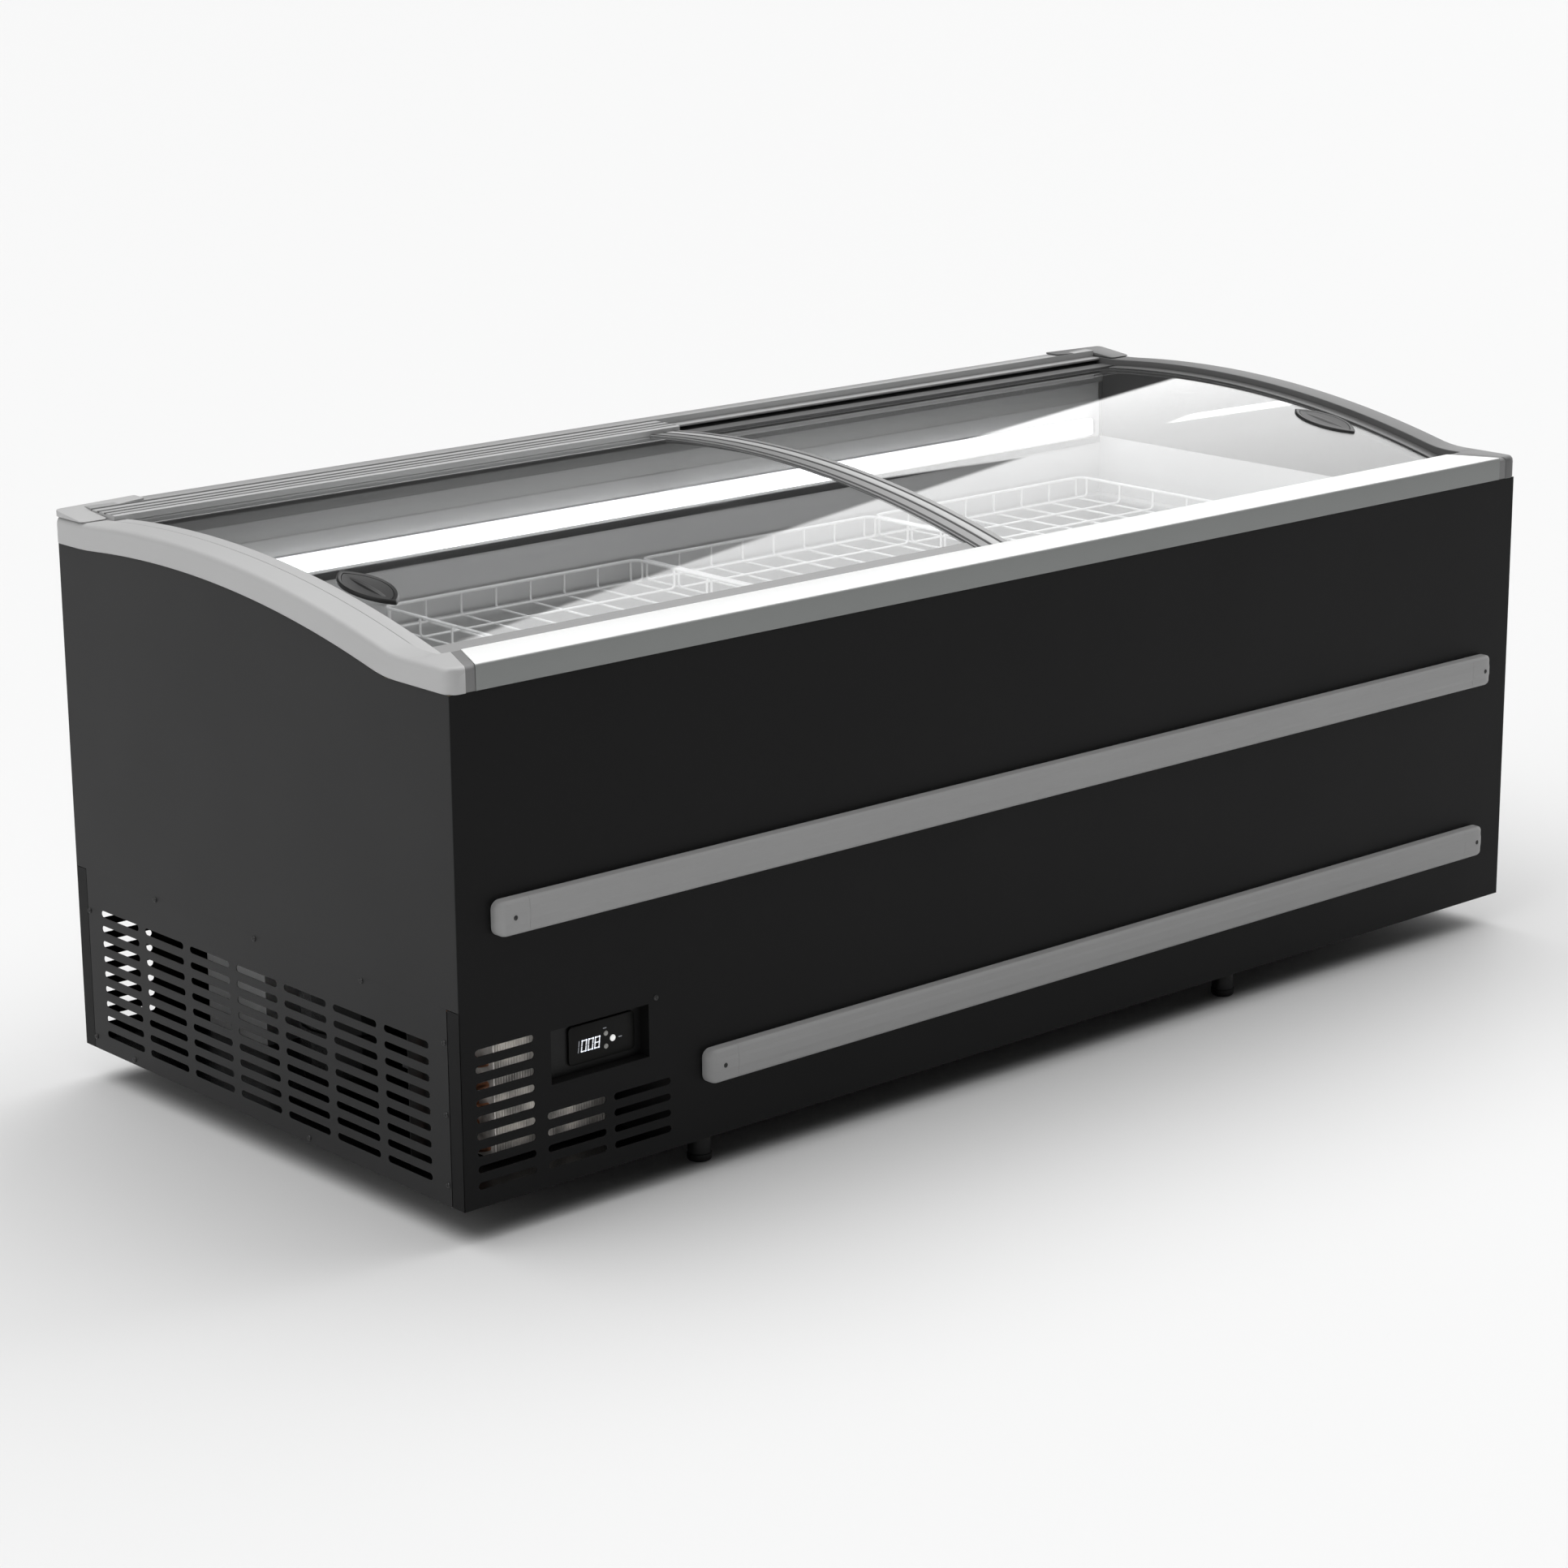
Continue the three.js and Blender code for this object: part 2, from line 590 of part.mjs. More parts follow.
// ---------------------------------------------------------------- bumper rails
function bumperProfile(top) {
  const wall = FRONT - GAP;
  const r = 9;
  const out = FRONT - BUMPER.thick;
  const bottom = top - BUMPER.height;
  const shape = new THREE.Shape();
  shape.moveTo(wall, bottom);
  shape.lineTo(wall, top);
  shape.lineTo(out + r, top);
  shape.absarc(out + r, top - r, r, Math.PI / 2, Math.PI, false);
  shape.absarc(out + r, bottom + r, r, Math.PI, 1.5 * Math.PI, false);
  return shape;
}

// End caps round off in plan towards the wall.
function bumperCap(top, tip, side) {
  const r = BUMPER.thick - 2;
  const x = tip - side * r;
  const plan = new THREE.Shape();
  plan.moveTo(tip - side * BUMPER.cap, FRONT + 1);
  plan.lineTo(tip - side * BUMPER.cap, FRONT - BUMPER.thick - 1);
  plan.lineTo(x, FRONT - BUMPER.thick - 1);
  plan.lineTo(x, FRONT - BUMPER.thick);
  plan.absarc(x, FRONT - 2, r, -Math.PI / 2, side > 0 ? 0 : -Math.PI, side < 0);
  plan.lineTo(tip, FRONT + 1);
  const ends = [tip, tip - side * (BUMPER.cap - GAP)].sort((a, b) => a - b);
  return alongX(bumperProfile(top), ...ends, 2).intersect(alongZ(plan, top - BUMPER.height - 1, top + 1, 2));
}

Object.entries(BUMPERS).forEach(([name, { left, right, top }]) => {
  addPart(name, alongX(bumperProfile(top), left + BUMPER.cap, right - BUMPER.cap, 2), BUMPER_GREY);
  addPart(`${name}_cap_left`, bumperCap(top, left, -1), BUMPER_GREY);
  addPart(`${name}_cap_right`, bumperCap(top, right, 1), BUMPER_GREY);
});

// ---------------------------------------------------------------- controller
const TRAY_BACK = FRONT + RECESS.depth; // front face of the recess floor

function controllerTray() {
  const wall = 1.5;
  const mouth = FRONT + inner;
  const shell = block(
    [RECESS.left - wall, RECESS.right + wall],
    [mouth, TRAY_BACK + wall],
    [RECESS.bottom - wall, RECESS.top + wall],
  );
  const hollow = block([RECESS.left, RECESS.right], [mouth - 1, TRAY_BACK], [RECESS.bottom, RECESS.top]);
  const port = block(
    [CONTROLLER.left + 5 - GAP, CONTROLLER.right - 5 + GAP],
    [TRAY_BACK - 1, TRAY_BACK + 3],
    [CONTROLLER.bottom + 5 - GAP, CONTROLLER.top - 5 + GAP],
  );
  return cut(shell, [hollow, port]);
}

const BEZEL_FACE = TRAY_BACK - GAP - CONTROLLER.bezel;

function controllerCase() {
  const bezel = block(
    [CONTROLLER.left, CONTROLLER.right],
    [BEZEL_FACE, TRAY_BACK - GAP],
    [CONTROLLER.bottom, CONTROLLER.top],
  );
  const body = block(
    [CONTROLLER.left + 5, CONTROLLER.right - 5],
    [BEZEL_FACE + 1, TRAY_BACK + CONTROLLER.body],
    [CONTROLLER.bottom + 5, CONTROLLER.top - 5],
  );
  const wells = Object.values(KEYS).map(({ x, z, r }) =>
    alongY(disc(x, z, r + 0.5), BEZEL_FACE - 1, BEZEL_FACE + 5, 4),
  );
  return cut(bezel.add(body), wells);
}

addPart("controller_tray", controllerTray(), CHARCOAL);
addPart("controller_case", controllerCase(), BLACK);
Object.entries(KEYS).forEach(([name, { x, z, r }]) => {
  addPart(name, alongY(disc(x, z, r), BEZEL_FACE - 1.2, BEZEL_FACE + 3.5, 4), LAMP_WHITE);
});

// ---------------------------------------------------------------- refrigeration set
function condenser() {
  const FINS = 18;
  const PITCH = 17;
  const [front, back] = [-350, -298];
  const left = -1022;
  const points = [[left, back]];
  for (let i = 0; i < FINS; i += 1) {
    const x = left + i * PITCH;
    points.push([x, front], [x + 2, front], [x + 2, back - 3], [x + PITCH, back - 3]);
  }
  const right = left + FINS * PITCH;
  points.push([right, front], [right + 2, front], [right + 2, back]);
  return alongZ(polygon(points.reverse()), 62, 300);
}

function fanShroud() {
  const plate = rectangle(-1022, -712, 62, 300);
  plate.holes.push(disc(FAN.x, FAN.z, FAN.r + 5));
  const ring = alongAxisY(
    turned(
      [
        [FAN.r + 5, 0],
        [FAN.r + 8, 0],
        [FAN.r + 8, 26],
        [FAN.r + 5, 26],
        [FAN.r + 5, 0],
      ],
      20,
    ),
  ).translate([FAN.x, -296.5, FAN.z]);
  return alongY(plate, -296.5, -294.5, 5).add(ring);
}

function fanBlade() {
  const hub = alongAxisY(turned([[0, -14], [22, -14], [22, 16.5], [0, 16.5]], 16));
  const BLADES = 5;
  const blade = solid(new THREE.BoxGeometry(34, 2.5, FAN.r - 18).rotateZ(0.5).translate(0, 0, FAN.r / 2 + 7));
  const blades = Array.from({ length: BLADES }, (_, i) => blade.rotate([0, (360 * i) / BLADES, 0]));
  return union([hub, ...blades]).translate([FAN.x, FAN.y, FAN.z]);
}

function fanMotor() {
  const can = alongAxisY(turned([[0, 0], [38, 0], [38, 40], [30, 52], [0, 52]], 16)).translate([FAN.x, -245, FAN.z]);
  const bracket = union([
    block([FAN.x - 110, FAN.x + 110], [-236, -232], [FAN.z - 6, FAN.z + 6]),
    block([FAN.x - 114, FAN.x - 106], [-294.2, -232], [FAN.z - 6, FAN.z + 6]),
    block([FAN.x + 106, FAN.x + 114], [-294.2, -232], [FAN.z - 6, FAN.z + 6]),
  ]);
  return can.add(bracket);
}

function compressor() {
  const { x, y, r, top } = COMPRESSOR;
  const pot = turned(
    [
      [0, 66],
      [r - 22, 66],
      [r - 4, 80],
      [r, 100],
      [r, 160],
      [r - 3, 162],
      [r - 3, top - 40],
      [r - 16, top - 14],
      [r - 44, top],
      [0, top],
    ],
    20,
  ).translate([x, y, 0]);
  const plate = block([x - 108, x + 108], [y - 70, y + 70], [60, 68]);
  const terminals = block([x - 24, x + 24], [y + r - 12, y + r + 30], [130, 190]);
  const feet = [-1, 1].flatMap((i) =>
    [-1, 1].map((j) => alongZ(disc(x + i * 92, y + j * 56, 13), FOOT_HEIGHT + 2.3, 61, 3)),
  );
  return union([pot, plate, terminals, ...feet]);
}

// The hot line leaves the pot, passes the condenser end and returns through the drier.
function dischargePipe() {
  const line = tube(
    [
      [-806, 92, 214],
      [-770, 110, 214],
      [-745, 110, 214],
      [-730, 60, 225],
      [-728, -100, 240],
      [-728, -200, 250],
      [-740, -262, 262],
      [-740, -290, 262],
    ],
    4,
    26,
  );
  const drier = alongAxisY(turned([[0, 0], [7, 0], [14, 14], [14, 76], [7, 90], [0, 90]], 12));
  return line.add(drier.translate([-728, -190, 246]));
}

const suctionPipe = () =>
  tube(
    [
      [-697.4, 150, 292],
      [-730, 150, 292],
      [-800, 160, 288],
      [-880, 140, 286],
      [-900, 60, 284],
      [-890, 30, 281],
      [-890, 30, 262.6],
    ],
    5,
    24,
  );

function electricalBox() {
  const body = block([-866, -716], [270, 420], [FOOT_HEIGHT + 2.3, 200]);
  const lid = block([-870, -712], [266, 424], [199, 212]);
  return body.add(lid);
}

addPart("condenser", condenser(), STEEL);
addPart("fan_shroud", fanShroud(), BLACK);
addPart("fan_motor", fanMotor(), STEEL);
addPart("fan_blade", fanBlade(), DARK_PLASTIC);
addPart("compressor", compressor(), BLACK);
addPart("discharge_pipe", dischargePipe(), COPPER);
addPart("suction_pipe", suctionPipe(), COPPER);
addPart("electrical_box", electricalBox(), MID_GREY);

// ---------------------------------------------------------------- feet
function foot(x, y) {
  const { r, stud, studLength } = FOOT;
  const top = FOOT_HEIGHT - GAP;
  return turned(
    [
      [0, 0],
      [r - 3, 0],
      [r, 3],
      [r, top],
      [stud, top],
      [stud, top + studLength],
      [0, top + studLength],
    ],
    16,
  ).translate([x, y, 0]);
}

["left", "right"].forEach((side, i) => {
  addPart(`foot_front_${side}`, foot(FOOT_X[i], FOOT_Y[0]), BLACK);
  addPart(`foot_rear_${side}`, foot(FOOT_X[i], FOOT_Y[1]), BLACK);
});

export default freezer;
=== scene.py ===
"""Looks, lights and camera for an island chest freezer with two curved sliding glass lids."""

import math

import bmesh
import bpy
from bpy.props import FloatProperty, FloatVectorProperty, IntProperty, PointerProperty
from mathutils import Matrix, Vector


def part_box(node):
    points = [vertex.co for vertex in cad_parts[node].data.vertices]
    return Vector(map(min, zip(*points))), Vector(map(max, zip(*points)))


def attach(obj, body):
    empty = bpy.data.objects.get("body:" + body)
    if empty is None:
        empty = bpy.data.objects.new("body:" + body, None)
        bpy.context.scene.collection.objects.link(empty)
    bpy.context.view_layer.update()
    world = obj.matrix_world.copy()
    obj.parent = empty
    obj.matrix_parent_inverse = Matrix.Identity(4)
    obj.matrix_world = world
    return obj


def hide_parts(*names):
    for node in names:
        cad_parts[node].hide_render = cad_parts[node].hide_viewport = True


bl_info = {
    "name": "Island Chest Freezer",
    "version": (1, 0, 0),
    "blender": (4, 5, 0),
    "location": "View3D > Sidebar > Freezer",
    "description": "Makes the detailed pieces and finishes of an island chest freezer",
    "category": "Object",
}

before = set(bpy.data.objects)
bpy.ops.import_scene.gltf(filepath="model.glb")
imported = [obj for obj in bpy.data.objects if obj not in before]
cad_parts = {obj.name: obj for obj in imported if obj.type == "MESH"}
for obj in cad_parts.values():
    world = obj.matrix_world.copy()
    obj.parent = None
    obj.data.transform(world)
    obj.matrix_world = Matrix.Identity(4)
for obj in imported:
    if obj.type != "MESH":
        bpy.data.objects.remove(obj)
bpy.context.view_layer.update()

MM = 0.001
SHARP_ANGLE = 34.0

# The lid curve: circles about an axis along X, in millimetres.
ARC_Y, ARC_Z, ARC_R = 198.0, -1216.0, 2058.0
TRIM_DEPTH = 37.5
SHELF_TOP, SHELF_BOTTOM = 774.0, 739.3
REAR_FLAT, REAR_BOTTOM = 833.5, 795.0
TRIM_FRONT, TRIM_BACK, TRIM_OUTER, TRIM_INNER = -452.0, 469.0, 1053.0, 1010.0
WEDGE_BACK, WEDGE_STEP = -373.8, 36.0
NOSE_WIDTH = 27.0
TRIM_CLEAR = 0.7
CABINET = "cabinet"


def corners(node):
    """Lowest and highest corner of a CAD node, in millimetres."""
    low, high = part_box(node)
    return [v / MM for v in low], [v / MM for v in high]


# ---------------------------------------------------------------- settings
class FreezerSizes(bpy.types.PropertyGroup):
    """Sizes of the fine detail, in metres"""

    slot_height: FloatProperty(
        name="Slot height", description="Height of a vent slot", default=0.010, unit="LENGTH"
    )
    wire: FloatProperty(
        name="Wire", description="Thickness of a basket wire", default=0.0035, unit="LENGTH"
    )
    rim_wire: FloatProperty(
        name="Rim wire", description="Thickness of a basket's rim wire", default=0.005, unit="LENGTH"
    )
    screw_head: FloatProperty(
        name="Screw head", description="Width of a casing screw's head", default=0.008, unit="LENGTH"
    )
    fin_pitch: FloatProperty(
        name="Fin pitch", description="Distance between condenser fins", default=0.0045, unit="LENGTH"
    )
    wall_cells: IntProperty(
        name="Wall cells", description="Cells along a basket's long wall", default=7, min=3, max=12
    )
    floor_cells: IntProperty(
        name="Floor cells", description="Cells across a basket from front to back", default=9, min=3, max=14
    )


def colour(name, description, default):
    """A colour setting."""
    return FloatVectorProperty(
        name=name, description=description, default=default, size=3, min=0, max=1, subtype="COLOR"
    )


class FreezerColours(bpy.types.PropertyGroup):
    """Base colours of the finishes"""

    # One black powder coat in two copies: the front and back painted darker as painted shade, the ends
    # lighter as painted light from the left.
    front_paint_painted_shade: colour("Front paint", "Powder coat of the front and back", (0.0064, 0.0064, 0.0066))
    side_paint_painted_light: colour("Side paint", "Powder coat of the ends", (0.0178, 0.0178, 0.0181))
    trim: colour("Trim", "Light grey end trims", (0.50, 0.50, 0.50))
    rail: colour("Rail", "Grey front rail", (0.245, 0.255, 0.25))
    bumper: colour("Bumper", "Grey bumper rails", (0.36, 0.36, 0.36))
    liner: colour("Liner", "White tub", (0.56, 0.56, 0.56))
    wire: colour("Wire", "White basket coating", (0.84, 0.84, 0.84))
    floor: colour("Floor", "Studio floor", (0.80, 0.80, 0.80))


# ---------------------------------------------------------------- node trees
class Tree:
    """Adds nodes to a node tree and feeds their inputs."""

    def __init__(self, tree):
        self.tree = tree

    def feed(self, socket, value):
        if isinstance(value, bpy.types.NodeSocket):
            self.tree.links.new(value, socket)
        else:
            socket.default_value = value

    def node(self, kind, inputs=None, **settings):
        made = self.tree.nodes.new(kind)
        for key, value in settings.items():
            setattr(made, key, value)
        for key, value in (inputs or {}).items():
            self.feed(made.inputs[key], value)
        return made

    def math(self, operation, *values, clamp=False):
        made = self.node("ShaderNodeMath", operation=operation, use_clamp=clamp)
        for socket, value in zip(made.inputs, values):
            self.feed(socket, value)
        return made.outputs[0]


def new_group(name, kind, inputs, outputs):
    """A node group with named sockets. Each socket is (name, type, default or None)."""
    tree = bpy.data.node_groups.new(name, kind)
    for direction, sockets in (("INPUT", inputs), ("OUTPUT", outputs)):
        for label, socket_type, default in sockets:
            socket = tree.interface.new_socket(label, in_out=direction, socket_type=socket_type)
            if default is not None:
                socket.default_value = default
    t = Tree(tree)
    source = t.node("NodeGroupInput")
    sink = t.node("NodeGroupOutput")
    return t, source.outputs, sink.inputs


FLOAT, COLOR, VECTOR = "NodeSocketFloat", "NodeSocketColor", "NodeSocketVector"
GEOMETRY, OBJECT_MATERIAL = "NodeSocketGeometry", "NodeSocketMaterial"


def grain_group():
    """Fine moulded or sprayed grain: a height, and a roughness that drifts over the surface."""
    t, given, out = new_group(
        "surface_grain",
        "ShaderNodeTree",
        [
            ("Vector", VECTOR, None),
            ("Scale", FLOAT, 900.0),
            ("Roughness", FLOAT, 0.5),
            ("Spread", FLOAT, 0.08),
        ],
        [("Height", FLOAT, None), ("Roughness", FLOAT, None)],
    )
    fine = t.node(
        "ShaderNodeTexNoise", {"Vector": given["Vector"], "Scale": given["Scale"], "Detail": 3.0}
    )
    broad = t.node("ShaderNodeTexNoise", {"Vector": given["Vector"], "Scale": 6.0, "Detail": 4.0})
    t.feed(out["Height"], fine.outputs["Fac"])
    drift = t.math("MULTIPLY", t.math("SUBTRACT", broad.outputs["Fac"], 0.5), given["Spread"])
    speck = t.math("MULTIPLY", t.math("SUBTRACT", fine.outputs["Fac"], 0.5), given["Spread"])
    both = t.math("ADD", t.math("ADD", given["Roughness"], drift), speck, clamp=True)
    t.feed(out["Roughness"], both)
    return t.tree


def tone_group():
    """Slight drift of colour over a surface, with a little dust on what faces up."""
    t, given, out = new_group(
        "uneven_tone",
        "ShaderNodeTree",
        [
            ("Vector", VECTOR, None),
            ("Color", COLOR, (0.5, 0.5, 0.5, 1)),
            ("Amount", FLOAT, 0.06),
            ("Scale", FLOAT, 3.0),
            ("Dust", FLOAT, 0.0),
        ],
        [("Color", COLOR, None)],
    )
    noise = t.node(
        "ShaderNodeTexNoise", {"Vector": given["Vector"], "Scale": given["Scale"], "Detail": 5.0}
    )
    swing = t.math("MULTIPLY", t.math("SUBTRACT", noise.outputs["Fac"], 0.5), given["Amount"])
    gain = t.math("ADD", t.math("MULTIPLY", swing, 2.0), 1.0)
    scaled = t.node("ShaderNodeVectorMath", {0: given["Color"]}, operation="SCALE")
    t.feed(scaled.inputs["Scale"], gain)
    normal = t.node("ShaderNodeSeparateXYZ", {0: t.node("ShaderNodeNewGeometry").outputs["Normal"]})
    upward = t.math("POWER", t.math("MAXIMUM", normal.outputs["Z"], 0.0), 4.0)
    fluff = t.node("ShaderNodeTexNoise", {"Vector": given["Vector"], "Scale": 60.0, "Detail": 6.0})
    settled = t.math("MULTIPLY", upward, fluff.outputs["Fac"])
    dust = t.math("MULTIPLY", settled, given["Dust"], clamp=True)
    mix = t.node("ShaderNodeMix", {"Factor": dust}, data_type="RGBA")
    t.feed(mix.inputs["A"], scaled.outputs[0])
    mix.inputs["B"].default_value = (0.62, 0.60, 0.57, 1)
    t.feed(out["Color"], mix.outputs["Result"])
    return t.tree


def brushed_group():
    """Drawn lines of an extruded or rolled metal, along X."""
    t, given, out = new_group(
        "drawn_lines",
        "ShaderNodeTree",
        [("Vector", VECTOR, None), ("Roughness", FLOAT, 0.35), ("Spread", FLOAT, 0.18)],
        [("Height", FLOAT, None), ("Roughness", FLOAT, None)],
    )
    stretch = t.node("ShaderNodeMapping", {"Vector": given["Vector"], "Scale": (4.0, 900.0, 900.0)})
    painted_groove_shade = t.node("ShaderNodeTexNoise", {"Vector": stretch.outputs[0], "Scale": 1.0, "Detail": 3.0})
    swing = t.math("MULTIPLY", t.math("SUBTRACT", painted_groove_shade.outputs["Fac"], 0.5), given["Spread"])
    t.feed(out["Height"], painted_groove_shade.outputs["Fac"])
    t.feed(out["Roughness"], t.math("ADD", given["Roughness"], swing, clamp=True))
    return t.tree


GROUPS = {}
FINISHES = {}


def shared(name):
    """A shader group by its short name, built once."""
    makers = {"grain": grain_group, "tone": tone_group, "drawn": brushed_group}
    if name not in GROUPS:
        GROUPS[name] = makers[name]()
    return GROUPS[name]


def new_material(name):
    """A new material with its node tools and its main shader."""
    material = bpy.data.materials.new(name)
    material.use_nodes = True
    t = Tree(material.node_tree)
    shader = next(n for n in material.node_tree.nodes if n.type == "BSDF_PRINCIPLED")
    return material, t, shader


def finish(name, base, roughness, metallic=0.0, specular=0.5, coat=0.0, grain=900.0, bump=0.02,
           spread=0.08, amount=0.05, patch=3.0, dust=0.0, drawn=False, emission=None):
    """A procedural finish: drifting tone, grain or drawn lines in the bump and the roughness."""
    material, t, shader = new_material(name)
    place = t.node("ShaderNodeTexCoord").outputs["Object"]
    tone = t.node("ShaderNodeGroup", node_tree=shared("tone"))
    values = {"Vector": place, "Color": (*base, 1), "Amount": amount, "Scale": patch, "Dust": dust}
    for key, value in values.items():
        t.feed(tone.inputs[key], value)
    surface = t.node("ShaderNodeGroup", node_tree=shared("drawn" if drawn else "grain"))
    t.feed(surface.inputs["Vector"], place)
    surface.inputs["Roughness"].default_value = roughness
    surface.inputs["Spread"].default_value = spread
    if not drawn:
        surface.inputs["Scale"].default_value = grain
    relief = t.node("ShaderNodeBump", {"Strength": bump * 10, "Distance": 0.0003})
    t.feed(relief.inputs["Height"], surface.outputs["Height"])
    t.feed(shader.inputs["Base Color"], tone.outputs["Color"])
    t.feed(shader.inputs["Roughness"], surface.outputs["Roughness"])
    t.feed(shader.inputs["Normal"], relief.outputs["Normal"])
    shader.inputs["Metallic"].default_value = metallic
    shader.inputs["Specular IOR Level"].default_value = specular
    shader.inputs["Coat Weight"].default_value = coat
    shader.inputs["Coat Roughness"].default_value = 0.12
    if emission:
        t.feed(shader.inputs["Emission Color"], tone.outputs["Color"])
        shader.inputs["Emission Strength"].default_value = emission
    FINISHES[name] = material


def glass_finish(name):
    """Clear glass that reflects, and lets lamps and soft light through to the tub."""
    material, t, shader = new_material(name)
    place = t.node("ShaderNodeTexCoord").outputs["Object"]
    smears = t.node("ShaderNodeTexNoise", {"Vector": place, "Scale": 5.0, "Detail": 6.0})
    span = {"From Min": 0.45, "From Max": 0.8, "To Min": 0.0, "To Max": 0.03}
    haze = t.node("ShaderNodeMapRange", {"Value": smears.outputs["Fac"], **span})
    t.feed(shader.inputs["Roughness"], haze.outputs[0])
    shader.inputs["Base Color"].default_value = (0.98, 0.985, 0.985, 1)
    shader.inputs["Transmission Weight"].default_value = 1.0
    shader.inputs["IOR"].default_value = 1.5
    path = t.node("ShaderNodeLightPath").outputs
    soft = t.math("MAXIMUM", path["Is Shadow Ray"], path["Is Diffuse Ray"])
    clear = t.node("ShaderNodeBsdfTransparent", {"Color": (0.91, 0.915, 0.915, 1)})
    mix = t.node("ShaderNodeMixShader", {0: soft})
    t.feed(mix.inputs[1], shader.outputs[0])
    t.feed(mix.inputs[2], clear.outputs[0])
    output = next(n for n in material.node_tree.nodes if n.type == "OUTPUT_MATERIAL")
    t.feed(output.inputs["Surface"], mix.outputs[0])
    FINISHES[name] = material


def make_finishes(colours):
    paint = {
        "roughness": 0.42,
        "specular": 0.11,
        "grain": 1400.0,
        "bump": 0.035,
        "spread": 0.10,
        "amount": 0.04,
    }
    # Lit and shaded copies of one black powder coat: painted shade on the front and back, painted light on
    # the ends.
    finish("charcoal_painted_shade", colours.front_paint_painted_shade, **paint)
    finish("charcoal_painted_light", colours.side_paint_painted_light, **{**paint, "specular": 0.2})
    finish("trim_moulding", colours.trim, 0.42, specular=0.35, grain=700.0, bump=0.02, dust=0.03)
    # The right end's trims: the trim colour darkened as painted shade.
    finish("trim_painted_shade", [c * 0.28 for c in colours.trim], 0.42, specular=0.3, grain=700.0, bump=0.02)
    finish("joint_grey", (0.205, 0.205, 0.205), 0.5, grain=700.0)
    finish("rail_metal", colours.rail, 0.38, specular=0.5, drawn=True, bump=0.01)
    # White for the rail's top strip, in part a painted highlight of the lit top face.
    finish("rail_white_painted_highlight", (0.97, 0.975, 0.97), 0.35, specular=0.3, bump=0.004, amount=0.01)
    finish("rear_rail_metal", (0.38, 0.38, 0.38), 0.4, specular=0.6, drawn=True, bump=0.01)
    finish("liner_coat", colours.liner, 0.42, specular=0.4, grain=420.0, bump=0.02, amount=0.03)
    finish("wire_coat", colours.wire, 0.32, specular=0.55, coat=0.2, grain=500.0, bump=0.01, amount=0.03)
    finish("strip_dark", (0.03, 0.03, 0.03), 0.5, grain=700.0)
    finish("strip_grey", (0.88, 0.88, 0.88), 0.55, grain=700.0)
    # A slightly darker copy of the rear strip grey: painted shade of the upper strip's recess.
    finish("strip_painted_shade", (0.84, 0.84, 0.84), 0.55, grain=700.0)
    finish("lamp_glow", (0.97, 0.98, 1.0), 0.4, emission=2.2, amount=0.01, bump=0.004)
    finish("lamp_housing", (0.62, 0.62, 0.63), 0.35, metallic=1.0, drawn=True)
    finish("lid_metal", (0.27, 0.27, 0.27), 0.36, specular=0.5, drawn=True, bump=0.01)
    # A lighter copy of the lid metal: painted light on the upper rear frame, painted highlight on the ribs.
    finish("lid_metal_painted_light", (0.50, 0.50, 0.50), 0.36, specular=0.5, drawn=True, bump=0.01)
    finish("lid_edge_light", colours.trim, 0.42, specular=0.35, grain=700.0, bump=0.02)
    # A dark copy of the lid edge for the lower lid's outer bar and rear frame and the upper frame's grooves:
    # painted shade.
    finish("lid_edge_painted_shade", (0.13, 0.13, 0.13), 0.36, specular=0.5, drawn=True, bump=0.01)
    finish("gasket", (0.018, 0.018, 0.018), 0.6, grain=1200.0, bump=0.03)
    finish("glide_plastic", (0.045, 0.045, 0.045), 0.45, grain=1100.0, dust=0.04)
    finish("handle_grip", (0.024, 0.024, 0.024), 0.42, specular=0.4, grain=1300.0, bump=0.02)
    finish("handle_rim", (0.020, 0.020, 0.020), 0.35, specular=0.35, grain=900.0)
    finish(
        "bumper_vinyl", colours.bumper, 0.5, specular=0.3, grain=1000.0, bump=0.03, amount=0.06, dust=0.05
    )
    finish("recess_black", (0.0075, 0.0075, 0.0075), 0.45, specular=0.25, grain=1200.0, bump=0.03)
    finish("controller_black", (0.0055, 0.0055, 0.005), 0.3, specular=0.12, grain=900.0, bump=0.004)
    finish("digit_glow", (0.92, 0.95, 1.0), 0.4, emission=0.45, amount=0.01)
    finish("digit_dim", (0.22, 0.23, 0.25), 0.4, emission=0.3, amount=0.01)
    finish("key_pale", (0.90, 0.90, 0.88), 0.35, emission=0.5, grain=1500.0)
    finish("key_dim", (0.34, 0.34, 0.32), 0.35, emission=0.12, grain=1500.0)
    finish("copper_tube", (0.62, 0.29, 0.17), 0.34, metallic=1.0, amount=0.18, grain=120.0)
    # Galvanised steel darkened far below its own brightness: painted shade of the compartment seen through
    # the slots.
    finish("galvanised_painted_shade", (0.07, 0.072, 0.075), 0.42, metallic=0.85, amount=0.14, grain=70.0, spread=0.2)
    finish("fin_metal", (0.66, 0.64, 0.61), 0.45, metallic=0.3, amount=1.7, patch=26.0)
    # Near-black enamel: the compressor's own black, darkened further as painted shade, and the base pan
    # painted black as painted shade.
    finish("black_enamel_and_painted_shade", (0.003, 0.003, 0.003), 0.28, specular=0.35, bump=0.03)
    finish("fan_plastic", (0.010, 0.010, 0.010), 0.45)
    finish("foot_plastic", (0.007, 0.007, 0.007), 0.42, specular=0.3, grain=1000.0)
    finish("screw_zinc", (0.05, 0.05, 0.05), 0.35, metallic=0.6, grain=800.0)
    finish("foam", (0.76, 0.68, 0.46), 0.9, grain=500.0, bump=0.05)
    glass_finish("lid_glass")


